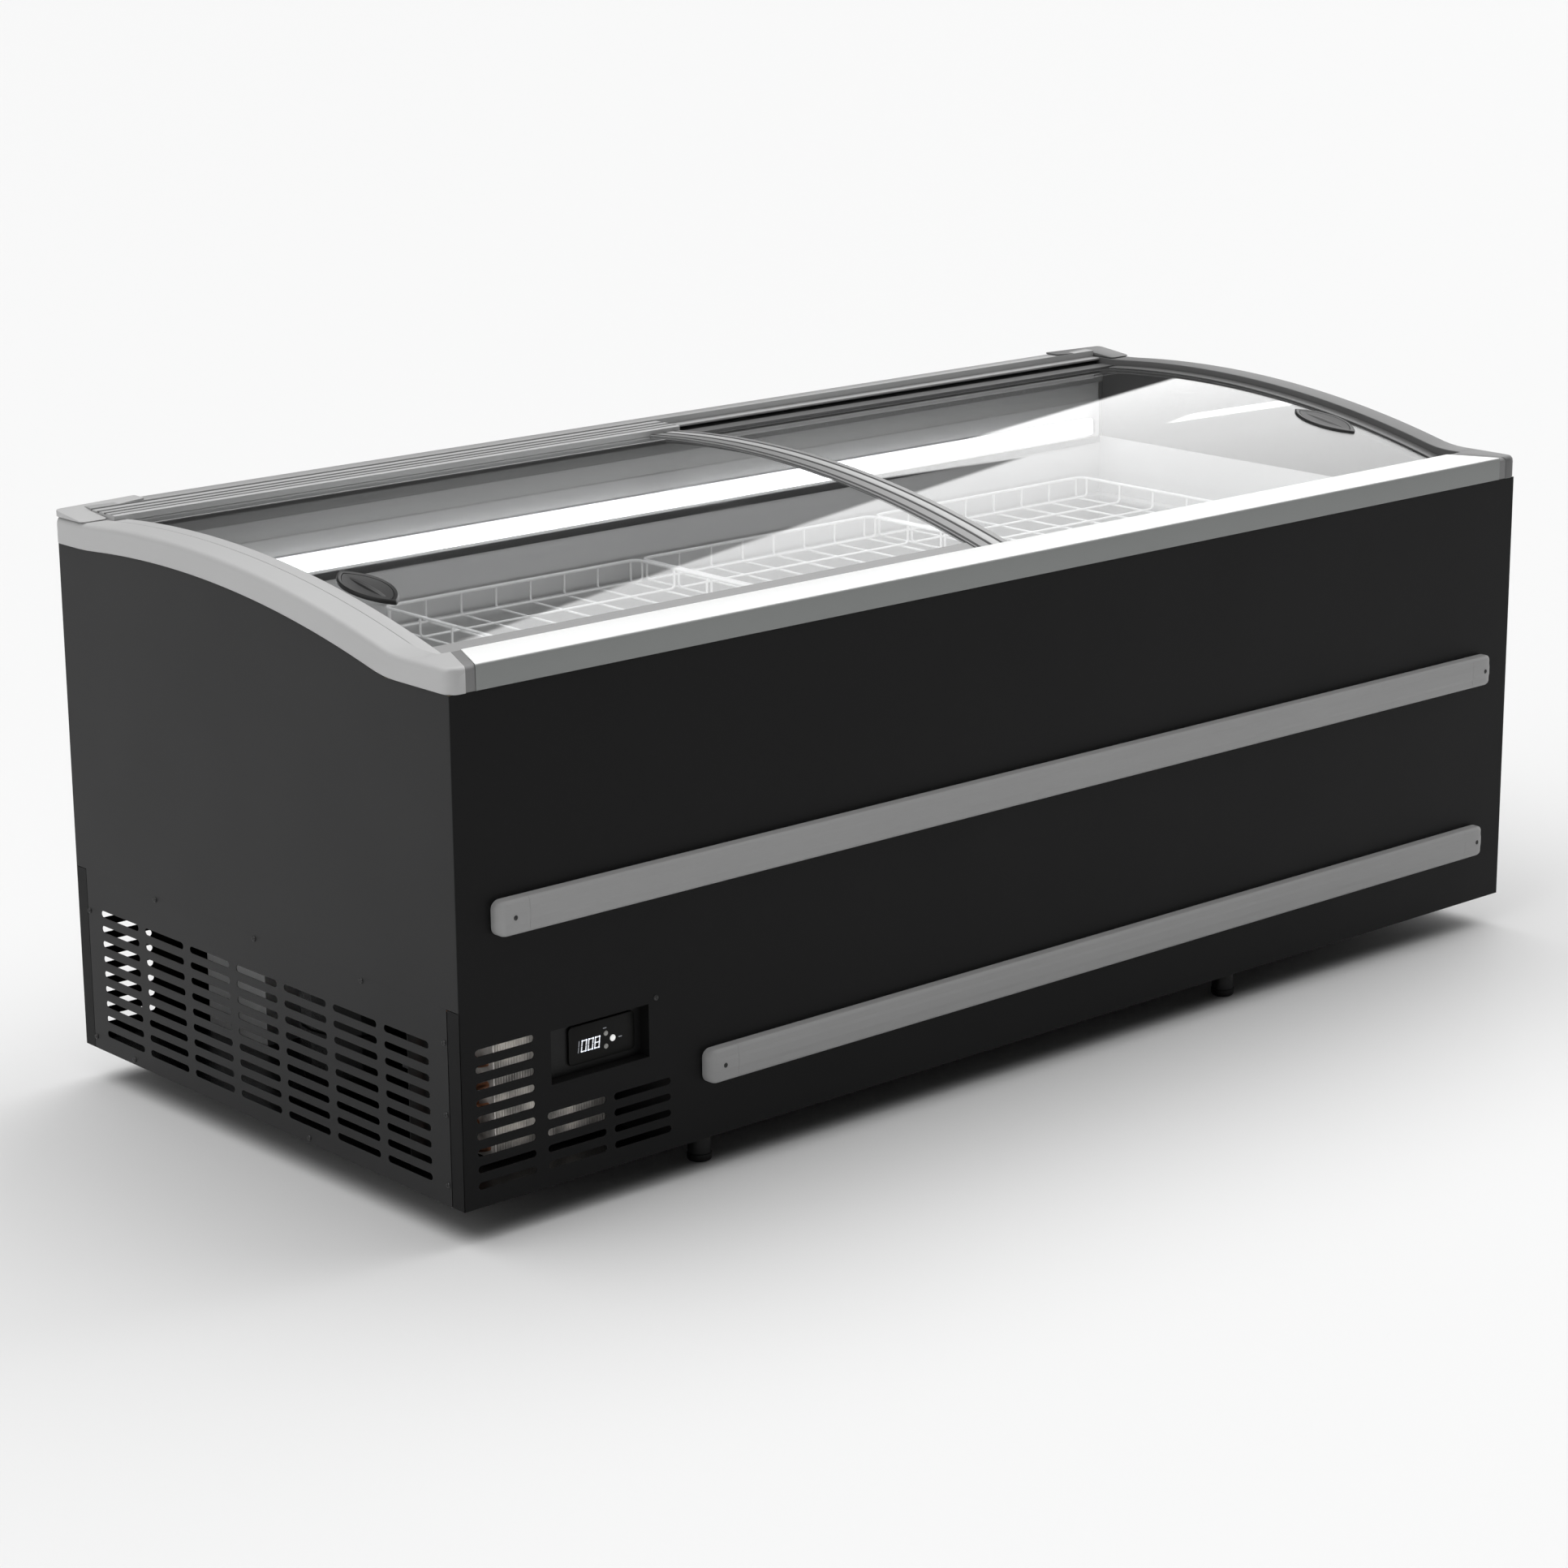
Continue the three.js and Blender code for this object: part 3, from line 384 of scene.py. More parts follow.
# ---------------------------------------------------------------- mesh tools, in millimetres
def lid_z(radius, y):
    """Height of the lid curve's circle of this radius at y."""
    return ARC_Z + math.sqrt(radius * radius - (y - ARC_Y) ** 2)


def steps(start, stop, count):
    """Evenly spaced values from start to stop."""
    return [start + (stop - start) * i / count for i in range(count + 1)]


def rounded(points, radius, count=4):
    """A closed outline with its corners filleted. radius is one number, or one for each corner."""
    radii = [radius] * len(points) if isinstance(radius, (int, float)) else radius
    result = []
    for i, corner in enumerate(points):
        here = Vector(corner)
        back = Vector(points[i - 1]) - here
        ahead = Vector(points[(i + 1) % len(points)]) - here
        r = radii[i]
        angle = back.angle(ahead)
        if r <= 0 or angle > math.pi - 0.02:
            result.append(tuple(here))
            continue
        reach = min(r / math.tan(angle / 2), back.length * 0.49, ahead.length * 0.49)
        r = reach * math.tan(angle / 2)
        bisector = (back.normalized() + ahead.normalized()).normalized()
        centre = here + bisector * (r / math.sin(angle / 2))
        first = here + back.normalized() * reach - centre
        last = here + ahead.normalized() * reach - centre
        turn = first.angle_signed(last)
        for s in steps(0, turn, count):
            c, n = math.cos(-s), math.sin(-s)
            result.append((centre.x + first.x * c - first.y * n, centre.y + first.x * n + first.y * c))
    return result


def add_loft(bm, sections):
    """Joins sections of equal length into a closed tube with flat ends."""
    rings = [[bm.verts.new(p) for p in section] for section in sections]
    for a, b in zip(rings, rings[1:]):
        for i in range(len(a)):
            j = (i + 1) % len(a)
            bm.faces.new((a[i], a[j], b[j], b[i]))
    bm.faces.new(rings[0][::-1])
    bm.faces.new(rings[-1])
    return bm


AXES = {"x": lambda u, v, w: (w, u, v), "y": lambda u, v, w: (u, w, v), "z": lambda u, v, w: (u, v, w)}


def add_prism(bm, outline, start, stop, axis="x"):
    """An outline pushed along an axis. It is drawn in (y, z), (x, z) or (x, y)."""
    place = AXES[axis]
    return add_loft(bm, [[place(u, v, w) for u, v in outline] for w in (start, stop)])


def add_turned(bm, profile, centre, count=32, axis="z"):
    """A profile of (radius, height) pairs turned about an axis, closed where the radius is zero."""
    place = AXES[axis]
    rings = []
    for radius, height in profile:
        if radius <= 0:
            rings.append([bm.verts.new(Vector(place(0, 0, height)) + Vector(centre))])
            continue
        angles = [2 * math.pi * i / count for i in range(count)]
        ring = [place(radius * math.cos(a), radius * math.sin(a), height) for a in angles]
        rings.append([bm.verts.new(Vector(p) + Vector(centre)) for p in ring])
    for a, b in zip(rings, rings[1:]):
        for i in range(count):
            j = (i + 1) % count
            face = [a[i % len(a)], a[j % len(a)], b[j % len(b)], b[i % len(b)]]
            bm.faces.new(list(dict.fromkeys(face)))
    return bm


def round_edges(bm, width, segments=2, angle=50):
    """Rounds the sharp edges of a closed shape."""
    bmesh.ops.recalc_face_normals(bm, faces=bm.faces)
    limit = math.radians(angle)
    sharp = [e for e in bm.edges if len(e.link_faces) == 2 and e.calc_face_angle(0) > limit]
    bmesh.ops.bevel(bm, geom=sharp, offset=width, segments=segments, profile=0.5, affect="EDGES",
                    clamp_overlap=True)
    return bm


def settle(bm, mesh, smooth=SHARP_ANGLE):
    """Writes a shape to a mesh: faces outwards, soft shading except at sharp edges."""
    bmesh.ops.remove_doubles(bm, verts=bm.verts, dist=bm_tolerance(bm))
    bmesh.ops.recalc_face_normals(bm, faces=bm.faces)
    limit = math.radians(smooth)
    for face in bm.faces:
        face.smooth = True
    for edge in bm.edges:
        edge.smooth = len(edge.link_faces) == 2 and edge.calc_face_angle(0) < limit
    bm.to_mesh(mesh)
    bm.free()


def bm_tolerance(bm):
    """A thousandth of a millimetre, whether the shape is in millimetres or metres."""
    reach = max((max(abs(c) for c in v.co) for v in bm.verts), default=1.0)
    return 1e-3 if reach > 5 else 1e-6


def keep(obj, body, finish_name, replaced=()):
    """Gives a made piece its finish, its body and the CAD nodes that it stands for."""
    obj.data.materials.clear()
    obj.data.materials.append(FINISHES[finish_name])
    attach(obj, body)
    if replaced:
        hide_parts(*replaced)
    return obj


def piece(name, bm, body, finish_name, replaced=(), smooth=SHARP_ANGLE):
    """Turns a shape in millimetres into a finished object in metres."""
    mesh = bpy.data.meshes.new(name)
    bmesh.ops.scale(bm, vec=(MM, MM, MM), verts=bm.verts)
    settle(bm, mesh, smooth)
    obj = bpy.data.objects.new(name, mesh)
    bpy.context.scene.collection.objects.link(obj)
    return keep(obj, body, finish_name, replaced)


def paint_nodes(finish_name, *nodes):
    """A CAD node whose shape is right keeps it, with a procedural finish."""
    for node in nodes:
        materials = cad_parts[node].data.materials
        materials.clear()
        materials.append(FINISHES[finish_name])


# ---------------------------------------------------------------- geometry nodes
def grown(name, points, edges, tree, values, attributes=None):
    """Runs a geometry tree on bare points and edges, in metres, and returns a plain mesh object."""
    mesh = bpy.data.meshes.new(name)
    mesh.from_pydata(points, edges, [])
    for label, (kind, data) in (attributes or {}).items():
        layer = mesh.attributes.new(label, kind, "POINT")
        flat = [c for row in data for c in row] if kind == "FLOAT_VECTOR" else data
        layer.data.foreach_set("vector" if kind == "FLOAT_VECTOR" else "value", flat)
    obj = bpy.data.objects.new(name, mesh)
    bpy.context.scene.collection.objects.link(obj)
    modifier = obj.modifiers.new("Shape", "NODES")
    modifier.node_group = tree
    for item in tree.interface.items_tree:
        if item.in_out == "INPUT" and item.name in values:
            modifier[item.identifier] = values[item.name]
    graph = bpy.context.evaluated_depsgraph_get()
    plain = bpy.data.meshes.new_from_object(obj.evaluated_get(graph))
    obj.modifiers.remove(modifier)
    obj.data = plain
    return obj


def reshape(obj, matrix=None, extra=None, smooth=SHARP_ANGLE):
    """Places a grown mesh, joins shapes drawn in millimetres to it, and settles it."""
    bm = bmesh.new()
    bm.from_mesh(obj.data)
    if matrix:
        bmesh.ops.transform(bm, matrix=matrix, verts=bm.verts)
    if extra:
        other = bpy.data.meshes.new("extra")
        bmesh.ops.scale(extra, vec=(MM, MM, MM), verts=extra.verts)
        extra.to_mesh(other)
        extra.free()
        bm.from_mesh(other)
        bpy.data.meshes.remove(other)
    settle(bm, obj.data, smooth)
    return obj


def new_tree(name, **sizes):
    """A geometry tree whose inputs are a geometry, the named sizes and a material."""
    labels = [(label.replace("_", " "), FLOAT, default) for label, default in sizes.items()]
    inputs = [("Geometry", GEOMETRY, None), *labels, ("Material", OBJECT_MATERIAL, None)]
    return new_group(name, "GeometryNodeTree", inputs, [("Geometry", GEOMETRY, None)])


def end_tree(t, given, out, geometry):
    """Ends a geometry tree with real geometry in its material."""
    real = t.node("GeometryNodeRealizeInstances", {"Geometry": geometry})
    painted = t.node(
        "GeometryNodeSetMaterial", {"Geometry": real.outputs[0], "Material": given["Material"]}
    )
    t.feed(out["Geometry"], painted.outputs[0])
    return t.tree


def slotted_sheet_tree():
    """A flat sheet cut by round-ended slots. Bare points are slot centres, and edges are outlines."""
    t, given, out = new_tree("slotted_sheet", Slot_Length=0.098, Slot_Height=0.010, Thickness=0.001)
    stretch = t.node("GeometryNodeInputNamedAttribute", {"Name": "stretch"}, data_type="FLOAT_VECTOR")
    along = t.node("ShaderNodeSeparateXYZ", {0: stretch.outputs["Attribute"]}).outputs["X"]
    is_slot = t.node(
        "FunctionNodeCompare", {"A": along, "B": 0.1}, data_type="FLOAT", operation="GREATER_THAN"
    )
    split = t.node(
        "GeometryNodeSeparateGeometry",
        {"Geometry": given["Geometry"], "Selection": is_slot.outputs[0]},
        domain="POINT",
    )
    outline = t.node("GeometryNodeMeshToCurve", {"Mesh": split.outputs["Inverted"]})
    bar = t.node(
        "GeometryNodeCurvePrimitiveQuadrilateral",
        {"Width": given["Slot Length"], "Height": given["Slot Height"]},
        mode="RECTANGLE",
    )
    radius = t.math("MULTIPLY", given["Slot Height"], 0.4999)
    slot = t.node(
        "GeometryNodeFilletCurve", {"Curve": bar.outputs[0], "Count": 5, "Radius": radius}, mode="POLY"
    )
    slots = t.node(
        "GeometryNodeInstanceOnPoints",
        {
            "Points": split.outputs["Selection"],
            "Instance": slot.outputs[0],
            "Scale": stretch.outputs["Attribute"],
        },
    )
    real = t.node("GeometryNodeRealizeInstances", {"Geometry": slots.outputs[0]})
    both = t.node("GeometryNodeJoinGeometry")
    t.feed(both.inputs[0], outline.outputs[0])
    t.feed(both.inputs[0], real.outputs[0])
    sheet = t.node("GeometryNodeFillCurve", {"Curve": both.outputs[0]}, mode="NGONS")
    up = t.node(
        "GeometryNodeExtrudeMesh",
        {"Mesh": sheet.outputs[0], "Offset Scale": given["Thickness"], "Individual": False},
        mode="FACES",
    )
    under = t.node("GeometryNodeFlipFaces", {"Mesh": sheet.outputs[0]})
    shell = t.node("GeometryNodeJoinGeometry")
    t.feed(shell.inputs[0], up.outputs["Mesh"])
    t.feed(shell.inputs[0], under.outputs[0])
    welded = t.node("GeometryNodeMergeByDistance", {"Geometry": shell.outputs[0], "Distance": 0.00001})
    return end_tree(t, given, out, welded.outputs[0])


def wire_tree():
    """Round wires along edges, with bent corners."""
    t, given, out = new_tree("bent_wires", Thickness=0.0034, Bend=0.008)
    line = t.node("GeometryNodeMeshToCurve", {"Mesh": given["Geometry"]})
    bent = t.node(
        "GeometryNodeFilletCurve",
        {"Curve": line.outputs[0], "Count": 4, "Radius": given["Bend"], "Limit Radius": True},
        mode="POLY",
    )
    radius = t.math("MULTIPLY", given["Thickness"], 0.5)
    section = t.node(
        "GeometryNodeCurvePrimitiveCircle", {"Resolution": 8, "Radius": radius}, mode="RADIUS"
    )
    tube = t.node("GeometryNodeCurveToMesh", {"Curve": bent.outputs[0], "Fill Caps": True})
    t.feed(tube.inputs["Profile Curve"], section.outputs[0])
    return end_tree(t, given, out, tube.outputs[0])


FIN_SHEET = 0.0004


def fins_tree():
    """A row of thin upright fins along X."""
    t, given, out = new_tree("cooling_fins", Pitch=0.0045, Length=0.3, Depth=0.05, Height=0.23)
    size = t.node("ShaderNodeCombineXYZ", {"X": FIN_SHEET, "Y": given["Depth"], "Z": given["Height"]})
    fin = t.node("GeometryNodeMeshCube", {"Size": size.outputs[0]})
    count = t.node("FunctionNodeFloatToInt", {0: t.math("DIVIDE", given["Length"], given["Pitch"])})
    offset = t.node("ShaderNodeCombineXYZ", {"X": given["Pitch"]})
    row = t.node("GeometryNodeMeshLine", {"Count": count.outputs[0], "Offset": offset.outputs[0]})
    rows = t.node(
        "GeometryNodeInstanceOnPoints", {"Points": row.outputs[0], "Instance": fin.outputs[0]}
    )
    return end_tree(t, given, out, rows.outputs[0])


# The largest turn of a screw's cross about its own axis, in radians.
SCREW_TURN = 1.5


def screw_tree(head):
    """Copies of one screw head on bare points, each turned by its own amount."""
    inputs = [
        ("Geometry", GEOMETRY, None),
        ("Width", FLOAT, 0.008),
        ("Seed", "NodeSocketInt", 3),
        ("Material", OBJECT_MATERIAL, None),
    ]
    t, given, out = new_group("screw_heads", "GeometryNodeTree", inputs, [("Geometry", GEOMETRY, None)])
    info = t.node("GeometryNodeObjectInfo", {"Object": head})
    facing = t.node("GeometryNodeInputNamedAttribute", {"Name": "facing"}, data_type="FLOAT_VECTOR")
    turned = t.node(
        "FunctionNodeAlignRotationToVector", {"Vector": facing.outputs["Attribute"]}, axis="Z"
    )
    spin = t.node("FunctionNodeRandomValue", {"Seed": given["Seed"]}, data_type="FLOAT")
    spin.inputs[3].default_value = SCREW_TURN
    twist = t.node("FunctionNodeAxisAngleToRotation", {"Axis": (0, 0, 1), "Angle": spin.outputs[1]})
    both = t.node(
        "FunctionNodeRotateRotation", {"Rotation": turned.outputs[0]}, rotation_space="LOCAL"
    )
    t.feed(both.inputs["Rotate By"], twist.outputs[0])
    heads = t.node(
        "GeometryNodeInstanceOnPoints",
        {
            "Points": given["Geometry"],
            "Instance": info.outputs["Geometry"],
            "Rotation": both.outputs[0],
            "Scale": given["Width"],
        },
    )
    return end_tree(t, given, out, heads.outputs[0])


TREES = {}


def tree(name, maker):
    """A geometry tree that several pieces share, made when it is first asked for."""
    if name not in TREES:
        TREES[name] = maker()
    return TREES[name]


# ---------------------------------------------------------------- casing
FRONT_SLOTS = ((-1026, 95, 9), (-911, 98, 4), (-799, 97, 4))
SLOT_ROW, SLOT_PITCH, SLOT_LENGTH = 80.0, 22.7, 98.0
END_COLUMNS, END_FIRST, END_PITCH, END_ROWS = 7, -381.0, 114.8, 9


def slot_column(start, length, rows):
    """Centres of one column of slots and how far each is stretched from the common length."""
    middle = start + length / 2
    return [((middle, SLOT_ROW + i * SLOT_PITCH), length / SLOT_LENGTH) for i in range(rows)]


def slotted_panel(name, outlines, slots, matrix, extra, finish_name, slot_height):
    """A sheet drawn in its own plane, in millimetres, then stood up by the matrix."""
    points, edges, stretch = [], [], []
    for outline in outlines:
        first = len(points)
        points += [(u * MM, v * MM, 0) for u, v in outline]
        edges += [(first + i, first + (i + 1) % len(outline)) for i in range(len(outline))]
        stretch += [(0, 0, 0)] * len(outline)
    for (u, v), scale in slots:
        points.append((u * MM, v * MM, 0))
        stretch.append((scale, 1, 1))
    values = {
        "Slot Length": SLOT_LENGTH * MM,
        "Slot Height": slot_height,
        "Thickness": 0.001,
        "Material": FINISHES[finish_name],
    }
    obj = grown(name, points, edges, tree("sheet", slotted_sheet_tree), values,
                {"stretch": ("FLOAT_VECTOR", stretch)})
    reshape(obj, matrix, extra)
    return keep(obj, CABINET, finish_name, [name])


def rectangle(u0, u1, v0, v1):
    """The four corners of a rectangle."""
    return [(u0, v0), (u1, v0), (u1, v1), (u0, v1)]


def stand(axis, place):
    """Turns a sheet drawn in (u, v) to stand facing along X or Y, with its near face at place."""
    if axis == "y":
        return Matrix(((1, 0, 0, 0), (0, 0, 1, place * MM), (0, 1, 0, 0), (0, 0, 0, 1)))
    return Matrix(((0, 0, 1, place * MM), (1, 0, 0, 0), (0, 1, 0, 0), (0, 0, 0, 1)))


class FREEZER_OT_casing(bpy.types.Operator):
    """Make the painted casing: front, back, ends and base"""

    bl_idname = "freezer.casing"
    bl_label = "Casing"

    def execute(self, context):
        height = context.scene.freezer_sizes.slot_height
        (x0, y0, z0), (x1, _, z1) = corners("front_panel")
        recess = corners("controller_tray")
        hole = rectangle(recess[0][0] + 1.5, recess[1][0] - 1.5, recess[0][2] + 1.5, recess[1][2] - 1.5)
        slots = [s for column in FRONT_SLOTS for s in slot_column(*column)]
        (_, vent_front, _), (_, vent_back, vent_top) = corners("left_vent_panel")
        flange = add_prism(bmesh.new(), rectangle(x0, x0 + 1, y0, vent_front - 1.9), z0, vent_top, "z")
        # The front and back take the painted shade copy of the powder coat, and the ends the painted light
        # copy.
        slotted_panel("front_panel", [rectangle(x0, x1, z0, z1), hole], slots, stand("y", y0), flange,
                      "charcoal_painted_shade", height)

        (_, _, z0), (_, y1, z1) = corners("rear_panel")
        flange = add_prism(bmesh.new(), rectangle(x0, x0 + 1, vent_back + 1, y1), z0, vent_top, "z")
        slotted_panel("rear_panel", [rectangle(x0, x1, z0, z1)], slot_column(*FRONT_SLOTS[0]),
                      stand("y", y1 - 1), flange, "charcoal_painted_shade", height)

        columns = [END_FIRST + i * END_PITCH for i in range(END_COLUMNS)]
        slots = [s for start in columns for s in slot_column(start, SLOT_LENGTH, END_ROWS)]
        slotted_panel("left_vent_panel", [rectangle(vent_front, vent_back, z0, vent_top + 0.95)], slots,
                      stand("x", x0), None, "charcoal_painted_light", height)
        paint_nodes("charcoal_painted_light", "left_end_panel", "right_end_panel")
        # The base pan is painted black: painted shade behind the lowest slots.
        paint_nodes("black_enamel_and_painted_shade", "base_pan")
        paint_nodes("foam", "foam_insulation")
        return {"FINISHED"}


# ---------------------------------------------------------------- trims and rails
def trim_curve(drop, shelf, rear):
    """Height of a trim edge at y: shelf, lid curve, rear flat, with eased bends."""

    def bare(y):
        curve = lid_z(ARC_R - drop, y)
        return max(shelf, curve) if y < ARC_Y else max(rear, curve)

    def eased(y):
        reach = 22.0
        return sum(bare(y + d) for d in steps(-reach, reach, 8)) / 9

    return eased


def nose(distance, radius):
    """How far a rounded end has drawn back at this distance from its tip."""
    if distance >= radius:
        return 0.0
    return radius - math.sqrt(radius * radius - (radius - distance) ** 2)


def wedge(ahead):
    """How far the slanted joint has moved in at this distance from the front."""
    return WEDGE_STEP * ahead / (WEDGE_BACK - TRIM_FRONT)


def end_trim(bm, side):
    """The moulding that follows the lid curve at one end, with a round nose at each end."""
    top = trim_curve(0, SHELF_TOP, REAR_FLAT)
    bottom = trim_curve(TRIM_DEPTH, SHELF_BOTTOM, REAR_BOTTOM)
    stations = [TRIM_FRONT + nose_step for nose_step in (0, 0.4, 1.2, 2.6, 4.6, 7.5, 11, 16)]
    stations += steps(-430, WEDGE_BACK - 0.1, 4) + steps(WEDGE_BACK + 0.1, 440, 64)
    stations += [TRIM_BACK - back for back in (16, 11, 7.5, 4.6, 2.6, 1.2, 0.4, 0)]
    sections = []
    for y in stations:
        ahead, behind = y - TRIM_FRONT, TRIM_BACK - y
        outer = TRIM_OUTER - nose(ahead, 16) - nose(behind, 9)
        if y < WEDGE_BACK:
            inner = TRIM_OUTER - NOSE_WIDTH - wedge(ahead)
        else:
            inner = TRIM_INNER - TRIM_CLEAR
        high = top(y) - nose(ahead, 7)
        low = bottom(y)
        outline = [(inner, low), (outer, low), (outer, high), (inner + 1, high - 0.6),
                   (inner, high - 1.2)]
        shape = rounded(outline, [0, 2.5, 9, 1, 0.5], 5)
        sections.append([(side * x, y, z) for x, z in shape])
    return add_loft(bm, sections)


def corner_joint(bm, side):
    """The slim grey piece between the end trim and the front rail."""
    sections = []
    for ahead in (0, 0.4, 1.2, 2.6, 4.6, 8, 30, 55, WEDGE_BACK - TRIM_FRONT):
        shift = wedge(ahead)
        inner, outer = TRIM_INNER + 0.1 - shift, TRIM_OUTER - NOSE_WIDTH - 0.1 - shift
        high = SHELF_TOP - 1.0 - nose(ahead, 8)
        shape = [(inner, SHELF_BOTTOM + 0.6), (outer, SHELF_BOTTOM + 0.6), (outer, high), (inner, high)]
        sections.append([(side * x, TRIM_FRONT + 0.7 + ahead * 0.99, z) for x, z in shape])
    return add_loft(bm, sections)


def shelf_end(y):
    """Where the front rail's shelf stops, following the corner joint."""
    return TRIM_INNER - wedge(min(max(y - TRIM_FRONT, 0), WEDGE_BACK - TRIM_FRONT))


def add_mitred(bm, outline):
    """A shelf outline in (y, z) whose two ends follow the corner joints."""
    return add_loft(bm, [[(side * shelf_end(y), y, z) for y, z in outline] for side in (-1, 1)])


class FREEZER_OT_trims(bpy.types.Operator):
    """Make the end trims, their corner joints and the raised rear corners"""

    bl_idname = "freezer.trims"
    bl_label = "End Trims"

    def execute(self, context):
        # The right trim and its rear corner cap take the darker copy of the trim colour: painted shade.
        for label, side, coat in (("left", -1, "trim_moulding"), ("right", 1, "trim_painted_shade")):
            piece(f"end_trim_{label}_moulding", end_trim(bmesh.new(), side), CABINET, coat,
                  [f"end_trim_{label}"])
            piece(f"corner_joint_{label}", corner_joint(bmesh.new(), side), CABINET, "joint_grey",
                  smooth=20)
            node = f"rear_corner_{label}"
            (x0, y0, z0), (x1, y1, z1) = corners(node)
            outer, inner = (x1, x0) if side > 0 else (x0, x1)
            seat = side * TRIM_INNER
            plan = [(outer, y0), (outer, y1), (inner, y1), (inner, 442), (seat, 442), (seat, y0)]
            shape = add_prism(bmesh.new(), rounded(plan, [10, 9, 3, 3, 0, 8], 4), z0, z1, "z")
            for vert in shape.verts:
                if vert.co.z < z1 - 1 and abs(vert.co.x) < TRIM_INNER - 1:
                    vert.co.z = max(vert.co.z, 843.3)
                elif vert.co.z > z1 - 1 and abs(vert.co.x) > TRIM_INNER - 1:
                    vert.co.z -= 10.5 * min(1, (y1 - vert.co.y) / (y1 - y0) + 0.25)
            piece(f"{node}_cap", round_edges(shape, 1.6, 3), CABINET, coat, [node])
        return {"FINISHED"}


class FREEZER_OT_rails(bpy.types.Operator):
    """Make the front and rear rails that carry the lids"""

    bl_idname = "freezer.rails"
    bl_label = "Rails"

    def execute(self, context):
        shelf = [(-452, 739.4), (-374, 739.4), (-374, 773.4), (-452, 773.4)]
        bm = add_mitred(bmesh.new(), rounded(shelf, [1.5, 0.5, 1.0, 2.6], 5))
        track = [(-378, 739.1), (-378, 703.4), (-374.3, 703.4), (-329.5, 730), (-329.5, 738), (-351.5, 738),
                 (-351.5, 749.8), (-373.7, 749.8), (-373.7, 739.1)]
        add_prism(bm, rounded(track, [0, 0, 0.8, 1.5, 1.5, 0.8, 1.5, 0.5, 0], 3), -1009.6, 1009.6)
        piece("front_rail_body", bm, CABINET, "rail_metal", ["front_rail"])
        # A white strip over the shelf top: in part a painted highlight of the lit top face.
        strip = [(-450.4, 772.9), (-374.2, 772.9), (-374.2, 774.3), (-450.4, 774.3)]
        bm = add_mitred(bmesh.new(), rounded(strip, [0, 0, 0.6, 0.9], 3))
        piece("front_rail_strip", bm, CABINET, "rail_white_painted_highlight", smooth=60)

        outline = [(469, 795.4), (469, 843), (441.5, 843), (441.5, 832), (426, 832), (426, 828), (452, 828),
                   (452, 812), (385, 812), (385, 799), (391, 799), (391, 795.4)]
        radii = [1, 4, 1.5, 0.5, 1.5, 0.8, 0.5, 0.5, 2, 1, 0, 0]
        bm = add_prism(bmesh.new(), rounded(outline, radii, 3), -1009.6, 1009.6)
        piece("rear_rail_body", bm, CABINET, "rear_rail_metal", ["rear_rail"])
        return {"FINISHED"}


